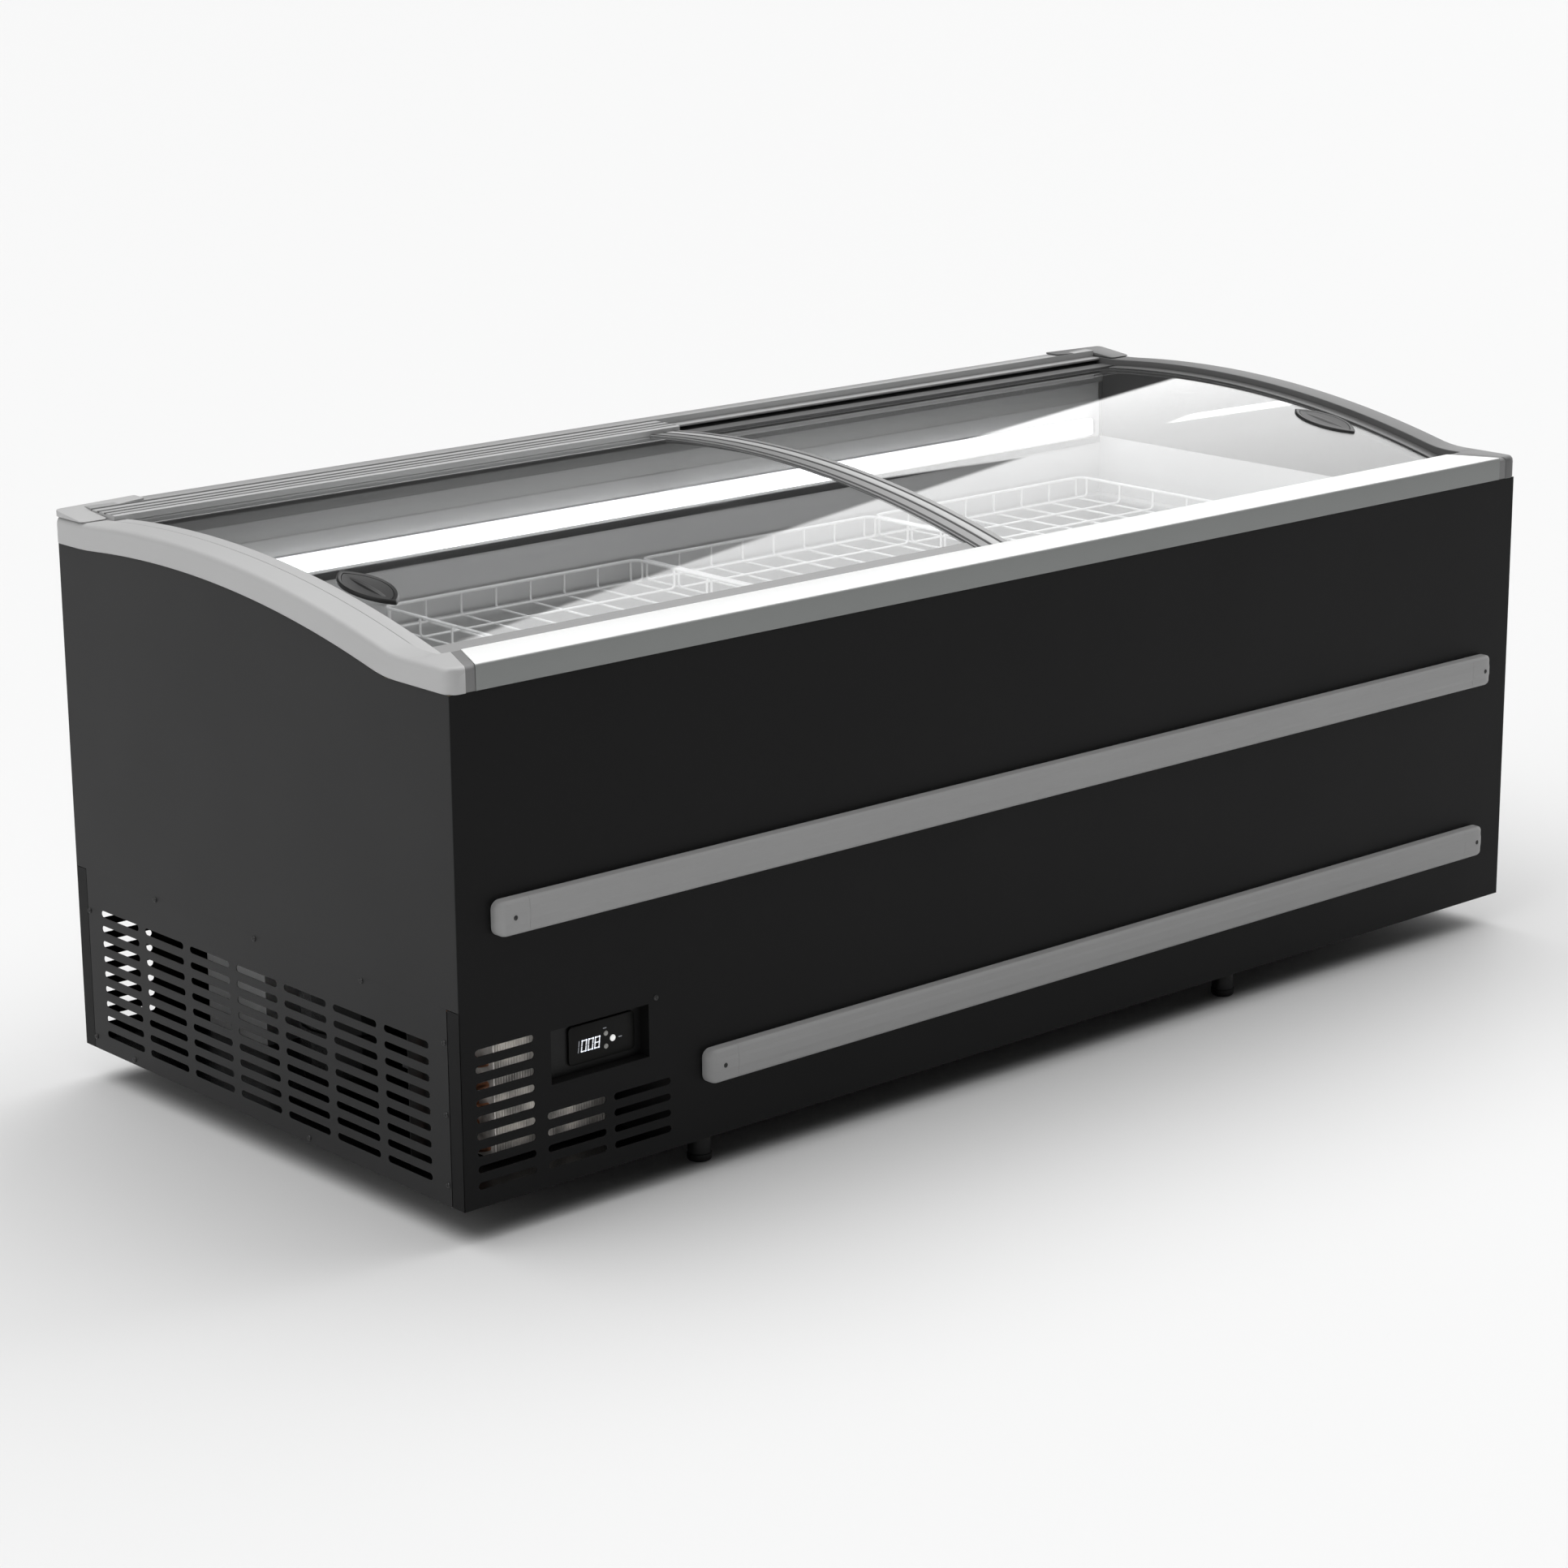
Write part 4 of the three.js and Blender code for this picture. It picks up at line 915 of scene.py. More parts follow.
# ---------------------------------------------------------------- tub
class FREEZER_OT_tub(bpy.types.Operator):
    """Finish the tub, its strips and the lamp along its back wall"""

    bl_idname = "freezer.tub"
    bl_label = "Tub and Lamp"

    def execute(self, context):
        paint_nodes("liner_coat", "inner_liner", "basket_ledge")
        paint_nodes("strip_dark", "breaker_left", "breaker_right")
        (x0, y0, z0), (x1, y1, z1) = corners("breaker_rear")
        lower = [(y1, z0), (y0, z0), (y0, z0 + 62), (y0 + 1.6, z0 + 63.5), (y1, z0 + 63.5)]
        bm = add_prism(bmesh.new(), rounded(lower, [0, 1, 1.5, 0, 0], 3), x0, x1)
        piece("breaker_rear_lower", bm, CABINET, "strip_grey", ["breaker_rear"])
        # The upper strip is painted a little darker than the lower one: painted shade.
        upper = [(y1, z0 + 63.7), (y0 + 2.6, z0 + 63.7), (y0 + 3.4, z1), (y1, z1)]
        bm = add_prism(bmesh.new(), upper, x0, x1)
        piece("breaker_rear_upper", bm, CABINET, "strip_painted_shade")
        # A dark strip just under the rear strip: painted shadow below the lamp. Dark posts close both
        # corners.
        shadow_strip = rounded(rectangle(y0 - 1.3, y0 - 0.1, z0 - 12, z0 - 0.4), [0.4, 0.1, 0.1, 0.4], 2)
        bm = add_prism(bmesh.new(), shadow_strip, x0, x1)
        for side in (-1, 1):
            post = rectangle(side * (x1 - 1.5), side * (x1 + 12), y0 - 6.3, y0 - 0.1)
            add_prism(bm, post, z0 + 0.2, z1, "z")
        piece("liner_seal", bm, CABINET, "strip_dark")
        self.end_ledges()
        (x0, y0, z0), (x1, y1, z1) = corners("led_lamp")
        cover = [(y1 - 3, z0 + 1), (y1 - 3, z1 - 1), (y0 + 5, z1 - 1), (y0, z1 - 9), (y0, z0 + 5),
                 (y0 + 4, z0 + 1)]
        bm = add_prism(bmesh.new(), rounded(cover, [0, 0, 4, 4, 4, 4], 4), x0 + 6, x1 - 6)
        piece("lamp_cover", bm, CABINET, "lamp_glow", ["led_lamp"])
        bm = add_prism(bmesh.new(), rectangle(y1 - 2.8, y1, z0, z1), x0 + 5, x1 - 5)
        for end in (x0, x1 - 6):
            cap = rounded(rectangle(y0, y1, z0, z1), [4, 0, 0, 4], 4)
            add_prism(bm, cap, end, end + 6)
        piece("lamp_housing", bm, CABINET, "lamp_housing", smooth=30)
        return {"FINISHED"}

    def end_ledges(self):
        """Curved ledges that close the slot between each end strip and its trim."""
        (_, y0, _), (x1, y1, _) = corners("breaker_right")
        section = rectangle(x1 + 0.1, TRIM_INNER - TRIM_CLEAR - 0.1, -30, -28.6)
        bm = bmesh.new()
        for side in (-1, 1):
            outline = [(side * x, height) for x, height in section]
            add_curved_bar(bm, outline, ARC_R, y0 + 0.1, y1 - 0.1)
        piece("end_ledges", bm, CABINET, "strip_dark")


# ---------------------------------------------------------------- baskets
def basket_lines(node, wall_cells, floor_cells):
    """Wires of one basket: loops from rim to rim in both directions, one side rail and the rim."""
    (x0, y0, z0), (x1, y1, z1) = corners(node)
    x0, y0, x1, y1 = x0 + 3, y0 + 3, x1 - 3, y1 - 3
    low, cross, rim = z0 + 1.8, z0 + 5.2, z1 - 3
    painted_groove_shade = []
    for x in steps(x0 + 12, x1 - 12, wall_cells):
        painted_groove_shade.append([(x, y0, rim), (x, y0, low), (x, y1, low), (x, y1, rim)])
    for y in steps(y0 + 14, y1 - 14, floor_cells):
        painted_groove_shade.append([(x0, y, rim), (x0, y, cross), (x1, y, cross), (x1, y, rim)])
    loop = [(x0, y0, rim), (x1, y0, rim), (x1, y1, rim), (x0, y1, rim)]
    return painted_groove_shade, loop


def wires(name, painted_groove_shade, closed, values):
    """Bent round wires along lines of points in millimetres."""
    points, edges = [], []
    for line in painted_groove_shade:
        first = len(points)
        points += [tuple(c * MM for c in p) for p in line]
        edges += [(first + i, first + i + 1) for i in range(len(line) - 1)]
        if closed:
            edges.append((first + len(line) - 1, first))
    return grown(name, points, edges, tree("wire", wire_tree), values)


def joined(name, objects):
    """One mesh object from several."""
    bm = bmesh.new()
    for obj in objects:
        bm.from_mesh(obj.data)
        bpy.data.objects.remove(obj)
    mesh = bpy.data.meshes.new(name)
    settle(bm, mesh)
    made = bpy.data.objects.new(name, mesh)
    bpy.context.scene.collection.objects.link(made)
    return made


class FREEZER_OT_baskets(bpy.types.Operator):
    """Make the three wire baskets"""

    bl_idname = "freezer.baskets"
    bl_label = "Wire Baskets"

    def execute(self, context):
        sizes = context.scene.freezer_sizes
        coat = FINISHES["wire_coat"]
        for number in (1, 2, 3):
            node = f"basket_{number}"
            painted_groove_shade, loop = basket_lines(node, sizes.wall_cells, sizes.floor_cells)
            thin = {"Thickness": sizes.wire, "Bend": 0.007, "Material": coat}
            thick = {"Thickness": sizes.rim_wire, "Bend": 0.016, "Material": coat}
            fine = wires("wires", painted_groove_shade, False, thin)
            rim = wires("rim", [loop], True, thick)
            keep(joined(f"{node}_wires", [fine, rim]), node, "wire_coat", [node])
        return {"FINISHED"}


# ---------------------------------------------------------------- lids
# Each lid's drop below the trim curve, its side, its handle's height, and its outer bar's finish. The right
# lid's outer bar is painted darker than the left one as painted shade.
LIDS = {
    "left": {"drop": 3.0, "side": -1, "height": 6.0, "edge": "lid_edge_light"},
    "right": {"drop": 13.0, "side": 1, "height": 3.0, "edge": "lid_edge_painted_shade"},
}
GLASS, GRIP, CLAMP_LIP = 4.0, 12.5, 2.4
PANE_GAP, END_GAP = 0.3, 0.3
BAR_COUNT = 48


def add_curved_bar(bm, outline, radius, front, back, count=BAR_COUNT):
    """An outline of (x, height above the curve) swept along the lid curve."""
    first, last = (math.asin((y - ARC_Y) / radius) for y in (front, back))
    sections = []
    for angle in steps(first, last, count):
        s, c = math.sin(angle), math.cos(angle)
        sections.append([(x, ARC_Y + (radius + h) * s, ARC_Z + (radius + h) * c) for x, h in outline])
    return add_loft(bm, sections)


def clamp_outline(x0, x1, low_side):
    """The section of a bar that grips the glass edge, with its pocket on the low or high side."""
    top, bottom, clear = CLAMP_LIP, -GLASS - CLAMP_LIP, 0.25
    under = -GLASS - clear
    if low_side:
        pocket = [(x0, clear), (x0 + GRIP, clear), (x0 + GRIP, under), (x0, under)]
        points = [(x0, top), *pocket, (x0, bottom), (x1, bottom), (x1, top)]
        return rounded(points, [1.2, 0.3, 0, 0, 0.3, 1.2, 1.5, 0.6], 3)
    pocket = [(x1, under), (x1 - GRIP, under), (x1 - GRIP, clear), (x1, clear)]
    points = [(x0, top), (x0, bottom), (x1, bottom), *pocket, (x1, top)]
    return rounded(points, [0.6, 1.5, 1.2, 0.3, 0, 0, 0.3, 1.2], 3)


def lens(half_length, half_width, count=28):
    """A pointed oval, as (x, y) pairs round its edge."""
    r = (half_length**2 + half_width**2) / (2 * half_width)
    sweep = math.asin(half_length / r)
    right = [(r * math.cos(a) - r + half_width, r * math.sin(a)) for a in steps(-sweep, sweep, count)]
    left = [(-x, -y) for x, y in right]
    return right[:-1] + left[:-1]


def handle_shell(bm, centre, size, radius, rings):
    """A shell over the lid curve from rings of (share of the oval, height), closed underneath."""
    cx, cy = centre
    edge = rounded(lens(*size), [0 if abs(y) < size[0] - 0.1 else 16 for _, y in lens(*size)], 5)
    layers = []
    for share, height in rings:
        ring = [(cx + x * share, cy + y * share) for x, y in edge]
        layers.append([bm.verts.new((x, y, lid_z(radius + height, y))) for x, y in ring])
    count = len(edge)
    for a, b in zip(layers, layers[1:] + layers[:1]):
        for i in range(count):
            j = (i + 1) % count
            bm.faces.new((a[i], a[j], b[j], b[i]))
    return bm


class FREEZER_OT_lids(bpy.types.Operator):
    """Make both curved sliding lids: glass, bars, glide, rear frame and handle"""

    bl_idname = "freezer.lids"
    bl_label = "Glass Lids"

    def execute(self, context):
        for label, lid in LIDS.items():
            self.make_lid(f"lid_{label}", lid)
        return {"FINISHED"}

    def make_lid(self, name, lid):
        radius = ARC_R - lid["drop"]
        (gx0, gy0, _), (gx1, gy1, _) = corners(f"{name}_glass")
        edge = [(gx0 + 0.3, -0.5), (gx0 + 0.8, 0), (gx1 - 0.8, 0), (gx1 - 0.3, -0.5),
                (gx1 - 0.3, -GLASS + 0.5), (gx1 - 0.8, -GLASS), (gx0 + 0.8, -GLASS),
                (gx0 + 0.3, -GLASS + 0.5)]
        pane = add_curved_bar(bmesh.new(), edge, radius, gy0 + 0.5, gy1 - 0.5, 72)
        piece(f"{name}_pane", pane, name, "lid_glass", [f"{name}_glass"], smooth=30)
        self.make_bars(name, lid, radius)
        self.make_runners(name, lid, radius)
        self.make_handle(name, lid, radius)
        if lid["side"] < 0:
            self.make_front_seal(name, radius)

    def make_bars(self, name, lid, radius):
        for which in ("inner", "outer"):
            node = f"{name}_{which}_bar"
            (x0, y0, _), (x1, y1, _) = corners(node)
            grips_low_side = (lid["side"] > 0) == (which == "outer")
            outline = clamp_outline(x0 + 0.2, x1 - 0.2, grips_low_side)
            bar = add_curved_bar(bmesh.new(), outline, radius, y0 + 1, y1 - 1)
            coat = "lid_metal" if which == "inner" else lid["edge"]
            piece(f"{node}_profile", bar, name, coat, [node])
            if which == "inner":
                self.make_gaskets(node, name, x0, x1, radius, y0, y1)

    def make_gaskets(self, node, body, x0, x1, radius, y0, y1):
        """Dark seal lines and a raised rib along the bar where the lids meet; the rib is painted lighter as a
        highlight line.
        """
        bm = bmesh.new()
        width = x1 - x0
        for a, b in ((0.03, 0.14), (0.40, 0.50), (0.76, 0.84)):
            a, b = x0 + width * a, x0 + width * b
            line = [(a, 2.2), (b, 2.2), (b - 0.8, 2.8), (a + 0.8, 2.8)]
            add_curved_bar(bm, line, radius, y0 + 2, y1 - 2)
        strip = [(x0, -5.8), (x0 + 4, -5.8), (x0 + 4, -6.45), (x0, -6.45)]
        add_curved_bar(bm, strip, radius, y0 + 2, y1 - 2)
        piece(f"{node}_seals", bm, body, "gasket", smooth=20)
        # The rib's lighter colour is a painted highlight.
        middle = x0 + width * 0.63
        rib = [(middle - 7, 2.2), (middle + 7, 2.2), (middle + 5, 2.9), (middle - 5, 2.9)]
        bm = add_curved_bar(bmesh.new(), rib, radius, y0 + 2, y1 - 2)
        piece(f"{node}_rib", bm, body, "lid_metal_painted_light", smooth=20)

    def make_runners(self, name, lid, radius):
        node = f"{name}_front_glide"
        (x0, y0, z0), (x1, y1, _) = corners(node)
        glass_front = corners(f"{name}_glass")[0][1]
        over, under, lip = radius + PANE_GAP, radius - GLASS - PANE_GAP, radius + CLAMP_LIP
        pocket = [(y1, lid_z(under, y1)), (glass_front - PANE_GAP, lid_z(under, glass_front)),
                  (glass_front - PANE_GAP, lid_z(over, glass_front)), (y1, lid_z(over, y1))]
        outline = [(y0, z0), (y1, z0), *pocket, (y1, lid_z(lip, y1)), (y0, lid_z(lip, y0))]
        outline = rounded(outline, [1.2, 1.2, 0.4, 0, 0, 0.3, 0.9, 2], 3)
        bm = add_prism(bmesh.new(), outline, x0 + END_GAP, x1 - END_GAP)
        piece(f"{node}_profile", bm, name, "glide_plastic", [node])

        node = f"{name}_rear_frame"
        (x0, y0, z0), (x1, y1, z1) = corners(node)
        # The upper lid's rear frame takes the lighter copy of the lid metal (painted light), and the lower
        # lid's the dark copy (painted shade under the rear rail).
        if lid["side"] < 0:
            outline, coat = self.upper_frame(y0, y1, z0, z1, radius), "lid_metal_painted_light"
        else:
            outline, coat = self.lower_frame(y0, y1, z0, z1, radius), "lid_edge_painted_shade"
        bm = add_prism(bmesh.new(), outline, x0 + END_GAP, x1 - END_GAP)
        piece(f"{node}_profile", bm, name, coat, [node], smooth=20)
        if lid["side"] < 0:
            # Dark strips in the two grooves and along one more line nearer the front: painted shade.
            bm = bmesh.new()
            for a, b in ((421.3, 426.7), (404.3, 408.7), (389, 394)):
                add_prism(bm, rectangle(a, b, z1 - 2.3, z1 - 0.15), x0 + 0.5, x1 - 0.5)
            piece(f"{node}_lines", bm, name, "lid_edge_painted_shade", smooth=20)
            # A thin rib between the grooves, in the painted light copy of the lid metal.
            bm = add_prism(bmesh.new(), rectangle(410.5, 419, z1 - 0.6, z1 - 0.05), x0 + 0.5, x1 - 0.5)
            piece(f"{node}_rib", bm, name, "lid_metal_painted_light", smooth=20)

    def upper_frame(self, y0, y1, z0, z1, radius):
        """Section of the upper lid's grooved rear frame, which grips the glass in a pocket."""
        deep = y0 + 10.4
        over, under = radius + PANE_GAP, radius - GLASS - PANE_GAP
        pocket = [(y0, lid_z(over, y0)), (deep, lid_z(over, deep)), (deep, lid_z(under, deep)),
                  (y0, lid_z(under, y0))]
        foot = [(y0, z0), (392.6, z0), (392.6, 832.6), (y1, 832.6), (y1, z1 - 0.4)]
        grooves = [(428, z1 - 0.4), (427, z1 - 2.4), (421, z1 - 2.4), (420, z1 - 0.4), (410, z1 - 0.4),
                   (409, z1 - 2.0), (404, z1 - 2.0), (403, z1 - 0.2)]
        return [(y0, z1 - 1.5), *pocket, *foot, *grooves, (y0 + 2, z1 - 0.2)]

    def lower_frame(self, y0, y1, z0, z1, radius):
        """Section of the lower lid's rear frame, which holds the glass from below and behind."""
        glass_back = 392 + PANE_GAP
        under = lid_z(radius - GLASS - PANE_GAP, glass_back)
        return [(y0, z0), (y1, z0), (y1, z1 - 0.4), (glass_back + 40, z1 - 0.4), (glass_back + 39, z1 - 2),
                (glass_back + 30, z1 - 2), (glass_back + 29, z1 - 0.4), (glass_back, z1 - 0.2),
                (glass_back, under), (y0, min(under + 0.2, z1 - 0.5))]

    def make_front_seal(self, name, radius):
        """A grey strip laid on the glass along the upper lid's front edge."""
        (x0, _, _), (x1, y1, _) = corners(f"{name}_front_glide")
        outline = [(x0 + 23, 0.15), (x1 - 64, 0.15), (x1 - 64, 0.8), (x0 + 23, 0.8)]
        bm = add_curved_bar(bmesh.new(), outline, radius, y1 + 0.5, y1 + 25, 6)
        piece(f"{name}_front_seal", bm, name, "lid_metal", smooth=30)

    def make_handle(self, name, lid, radius):
        node = f"{name}_handle"
        (x0, y0, _), (x1, y1, _) = corners(node)
        centre, size = ((x0 + x1) / 2, (y0 + y1) / 2), ((y1 - y0) / 2, (x1 - x0) / 2)
        high = lid["height"]
        rim = [(1.0, 0.35), (1.0, high * 0.45), (0.99, high * 0.75), (0.965, high - 0.1), (0.935, high - 0.1),
               (0.85, high * 0.8), (0.83, 0.35)]
        piece(f"{node}_rim", handle_shell(bmesh.new(), centre, size, radius, rim), name, "handle_rim",
              [node])
        grip = [(0.828, 0.35), (0.828, high * 0.72), (0.78, high * 0.66), (0.6, high * 0.5),
                (0.3, high * 0.36), (0.06, high * 0.32), (0.06, 0.35)]
        bm = handle_shell(bmesh.new(), centre, size, radius, grip)
        shell = add_ridge(bm, centre, radius, high)
        piece(f"{node}_grip", shell, name, "handle_grip")


def add_ridge(bm, centre, radius, high):
    """The upright finger ridge along the middle of a handle."""
    cx, cy = centre
    sections = []
    for y in steps(cy - 46, cy + 46, 20):
        share = 1 - ((y - cy) / 48) ** 2
        half = 3 + 3.5 * share
        lift = high * (0.38 + 0.5 * share)
        shape = [(cx - half, 0.4), (cx + half, 0.4), (cx + half * 0.6, lift * 0.85), (cx, lift),
                 (cx - half * 0.6, lift * 0.85)]
        sections.append([(x, y, lid_z(radius + h, y)) for x, h in shape])
    return add_loft(bm, sections)


# ---------------------------------------------------------------- bumpers
def bumper_outline(y0, y1, z0, z1):
    """Section of a bumper rail with a softly crowned face and round shoulders."""
    middle = (z0 + z1) / 2
    face = [(y0 + 2.0, z0 + 13), (y0 + 0.9, middle - 6), (y0 + 0.9, middle + 6), (y0 + 2.0, z1 - 13)]
    points = [(y1, z1), (y1, z0), (y0 + 6, z0), (y0 + 2.1, z0 + 4), *face, (y0 + 2.1, z1 - 4),
              (y0 + 6, z1)]
    return rounded(points, [0, 0, 4, 4, 3, 8, 8, 3, 4, 4], 4)


class FREEZER_OT_bumpers(bpy.types.Operator):
    """Make the bumper rails and their end caps"""

    bl_idname = "freezer.bumpers"
    bl_label = "Bumper Rails"

    def execute(self, context):
        for rail in ("bumper_upper", "bumper_lower"):
            (x0, y0, z0), (x1, y1, z1) = corners(rail)
            bm = add_prism(bmesh.new(), bumper_outline(y0, y1, z0, z1), x0, x1)
            piece(f"{rail}_profile", bm, CABINET, "bumper_vinyl", [rail])
            for label in ("left", "right"):
                node = f"{rail}_cap_{label}"
                self.make_cap(node, label == "right")
        return {"FINISHED"}

    def make_cap(self, node, right):
        (x0, y0, z0), (x1, y1, z1) = corners(node)
        inner, tip, side = (x0, x1, 1) if right else (x1, x0, -1)
        length = abs(tip - inner)
        sections = []
        for reach in [0, 1, length - 22] + [length - 17 + d for d in (0, 4, 8, 11, 13.5, 15.2, 16.4, 17)]:
            from_tip = length - reach
            fall = nose(from_tip, 17) * 0.94
            draw = nose(from_tip, 13) * 0.9
            outline = bumper_outline(y0, y1, z0, z1)
            middle, half = (z0 + z1) / 2, (z1 - z0) / 2
            squeeze = (half - draw) / half
            flatten = (y1 - y0 - fall) / (y1 - y0)
            section = [(inner + side * reach, y1 - (y1 - y) * flatten, middle + (z - middle) * squeeze)
                       for y, z in outline]
            sections.append(section)
        piece(f"{node}_moulding", add_loft(bmesh.new(), sections), CABINET, "bumper_vinyl",
              [node], smooth=40)


# ---------------------------------------------------------------- controller
# The bars that make each figure of the display.
SEGMENTS = {"0": "abcdef", "1": "bc", "8": "abcdefg"}


def add_digit(bm, glyph, x, z, width, height, y0, y1):
    """A figure made of bars, leaning a little."""
    bar = width * 0.24
    middle = z + height / 2
    boxes = {
        "a": (0, width, height - bar, height), "d": (0, width, 0, bar),
        "g": (0, width, height / 2 - bar / 2, height / 2 + bar / 2),
        "b": (width - bar, width, height / 2, height), "c": (width - bar, width, 0, height / 2),
        "e": (0, bar, 0, height / 2), "f": (0, bar, height / 2, height),
    }
    for key in SEGMENTS[glyph]:
        u0, u1, v0, v1 = boxes[key]
        gap = bar * 0.16
        corner_points = rectangle(u0 + gap, u1 - gap, v0 + gap, v1 - gap)
        lean = [(x + u + (z + v - middle) * 0.12, z + v) for u, v in corner_points]
        add_prism(bm, lean, y0, y1, "y")
    return bm


class FREEZER_OT_controller(bpy.types.Operator):
    """Make the temperature controller: recess, bezel, display and keys"""

    bl_idname = "freezer.controller"
    bl_label = "Controller"

    def execute(self, context):
        paint_nodes("recess_black", "controller_tray")
        (x0, y0, z0), (x1, y1, z1) = corners("controller_case")
        bezel = rounded(rectangle(x0, x1, z0, z1), 6, 5)
        bm = bmesh.new()
        add_prism(bm, bezel, y0, y0 + 3.4, "y")
        round_edges(bm, 0.9, 2)
        add_prism(bm, rectangle(x0 + 5, x1 - 5, z0 + 5, z1 - 5), y0 + 3.2, y1, "y")
        piece(
            "controller_bezel", bm, CABINET, "controller_black", ["controller_case"]
        )
        middle = (z0 + z1) / 2
        bm = bmesh.new()
        for i, glyph in enumerate("008"):
            add_digit(bm, glyph, x0 + 20.5 + i * 11.2, middle - 11.5, 9.6, 17, y0 - 0.35, y0 + 0.2)
        piece("display_figures", bm, CABINET, "digit_glow", smooth=20)
        bm = add_digit(bmesh.new(), "1", x0 + 8, middle - 11.5, 9.6, 17, y0 - 0.3, y0 + 0.2)
        for left, low in ((84, -4.5), (58, 13)):
            dash = rectangle(x0 + left, x0 + left + 5.5, middle + low, middle + low + 1.4)
            add_prism(bm, dash, y0 - 0.3, y0 + 0.2, "y")
        piece("display_marks", bm, CABINET, "digit_dim", smooth=20)
        for key in ("key_up", "key_set", "key_down"):
            (kx0, ky0, kz0), (kx1, ky1, kz1) = corners(key)
            radius = (kx1 - kx0) / 2
            profile = [(0, ky0 + 0.1), (radius * 0.5, ky0), (radius * 0.85, ky0 + 0.15), (radius, ky0 + 0.6),
                       (radius, ky1), (0, ky1)]
            centre = ((kx0 + kx1) / 2, 0, (kz0 + kz1) / 2)
            bm = add_turned(bmesh.new(), profile, centre, 24, "y")
            coat = "key_pale" if key == "key_set" else "key_dim"
            piece(f"{key}_button", bm, key, coat, [key])
        return {"FINISHED"}


# ---------------------------------------------------------------- refrigeration set
FINS_IN, FINS_OUT = 100, 14
COIL_ROWS = 8


class FREEZER_OT_machinery(bpy.types.Operator):
    """Finish the compressor compartment: fins, tubes, fan and compressor"""

    bl_idname = "freezer.machinery"
    bl_label = "Refrigeration Set"

    def execute(self, context):
        (x0, y0, z0), (x1, y1, z1) = corners("condenser")
        fins_from, fins_to = x0 + FINS_IN, x1 - FINS_OUT
        values = {
            "Pitch": context.scene.freezer_sizes.fin_pitch,
            "Length": (fins_to - fins_from) * MM,
            "Depth": (y1 - y0) * MM,
            "Height": (z1 - z0) * MM,
            "Material": FINISHES["fin_metal"],
        }
        fins = grown("condenser_fins", [(0, 0, 0)], [], tree("fins", fins_tree), values)
        place = Matrix.Translation((fins_from * MM, (y0 + y1) / 2 * MM, (z0 + z1) / 2 * MM))
        plates = bmesh.new()
        for x in (fins_from - 1.5, fins_to + 1):
            add_prism(plates, rectangle(y0, y1, z0, z1), x, x + 1)
        keep(reshape(fins, place, plates), CABINET, "fin_metal", ["condenser"])
        painted_groove_shade = []
        near, far, end = y0 + 14, y1 - 14, x1 - 12
        for row in range(COIL_ROWS):
            z = z0 + 15 + row * (z1 - z0 - 30) / (COIL_ROWS - 1)
            turn = x0 + 74 if row % 2 else x0 + 84
            painted_groove_shade.append([(end, near, z), (turn, near, z), (turn, far, z), (end, far, z)])
        for x, y in ((x0 + 8, y0 + 10), (x0 + 30, y1 - 10)):
            painted_groove_shade.append([(x, y, z0 + 4), (x, y, z1 - 12), (x0 + 78, y, z1 - 12)])
        values = {"Thickness": 0.009, "Bend": 0.012, "Material": FINISHES["copper_tube"]}
        coil = reshape(wires("condenser_tubes", painted_groove_shade, False, values))
        keep(coil, CABINET, "copper_tube")
        # The bulkhead and fan motor take the darkened galvanised finish: painted shade.
        paint_nodes("galvanised_painted_shade", "compartment_bulkhead", "fan_motor")
        paint_nodes("copper_tube", "evaporator_coil", "discharge_pipe", "suction_pipe")
        # The compressor is black enamel, darkened further as painted shade.
        paint_nodes("black_enamel_and_painted_shade", "compressor")
        paint_nodes("fan_plastic", "fan_shroud", "fan_blade")
        paint_nodes("strip_grey", "electrical_box")
        return {"FINISHED"}


# ---------------------------------------------------------------- feet
THREAD_TURNS = 9


class FREEZER_OT_feet(bpy.types.Operator):
    """Make the four turning feet with their threaded studs"""

    bl_idname = "freezer.feet"
    bl_label = "Feet"

    def execute(self, context):
        for place in ("front_left", "front_right", "rear_left", "rear_right"):
            node = f"foot_{place}"
            (x0, y0, _), (x1, y1, z1) = corners(node)
            centre = ((x0 + x1) / 2, (y0 + y1) / 2, 0)
            radius = (x1 - x0) / 2
            profile = [(0, 0), (radius - 5, 0), (radius - 2.2, 0.7), (radius - 0.6, 2.4), (radius, 5),
                       (radius, 11), (radius - 1, 12), (radius - 1, 41), (radius - 0.2, 42),
                       (radius - 0.2, 48.5), (radius - 1, 49.4), (4.2, 49.5)]
            for i in range(THREAD_TURNS):
                z = 50.5 + i * (z1 - 51.5) / THREAD_TURNS
                profile += [(4.1, z), (4.9, z + 0.8)]
            profile += [(4.1, z1 - 0.3), (0, z1 - 0.2)]
            bm = add_turned(bmesh.new(), profile, centre, 40)
            piece(f"{node}_leg", bm, node, "foot_plastic", [node])
        return {"FINISHED"}


# ---------------------------------------------------------------- screws
def screw_head():
    """One pan head of unit width with a cross recess, facing +Z."""
    bm = bmesh.new()
    profile = [(0, 0.17), (0.19, 0.17), (0.21, 0.26), (0.34, 0.24), (0.46, 0.14), (0.5, 0.02), (0.5, -0.05),
               (0, -0.05)]
    add_turned(bm, profile, (0, 0, 0), 16)
    for u in (-1, 1):
        for v in (-1, 1):
            add_prism(bm, rectangle(u * 0.045, u * 0.15, v * 0.045, v * 0.15), 0.165, 0.255, "z")
    mesh = bpy.data.meshes.new("screw_head")
    settle(bm, mesh)
    return bpy.data.objects.new("screw_head", mesh)


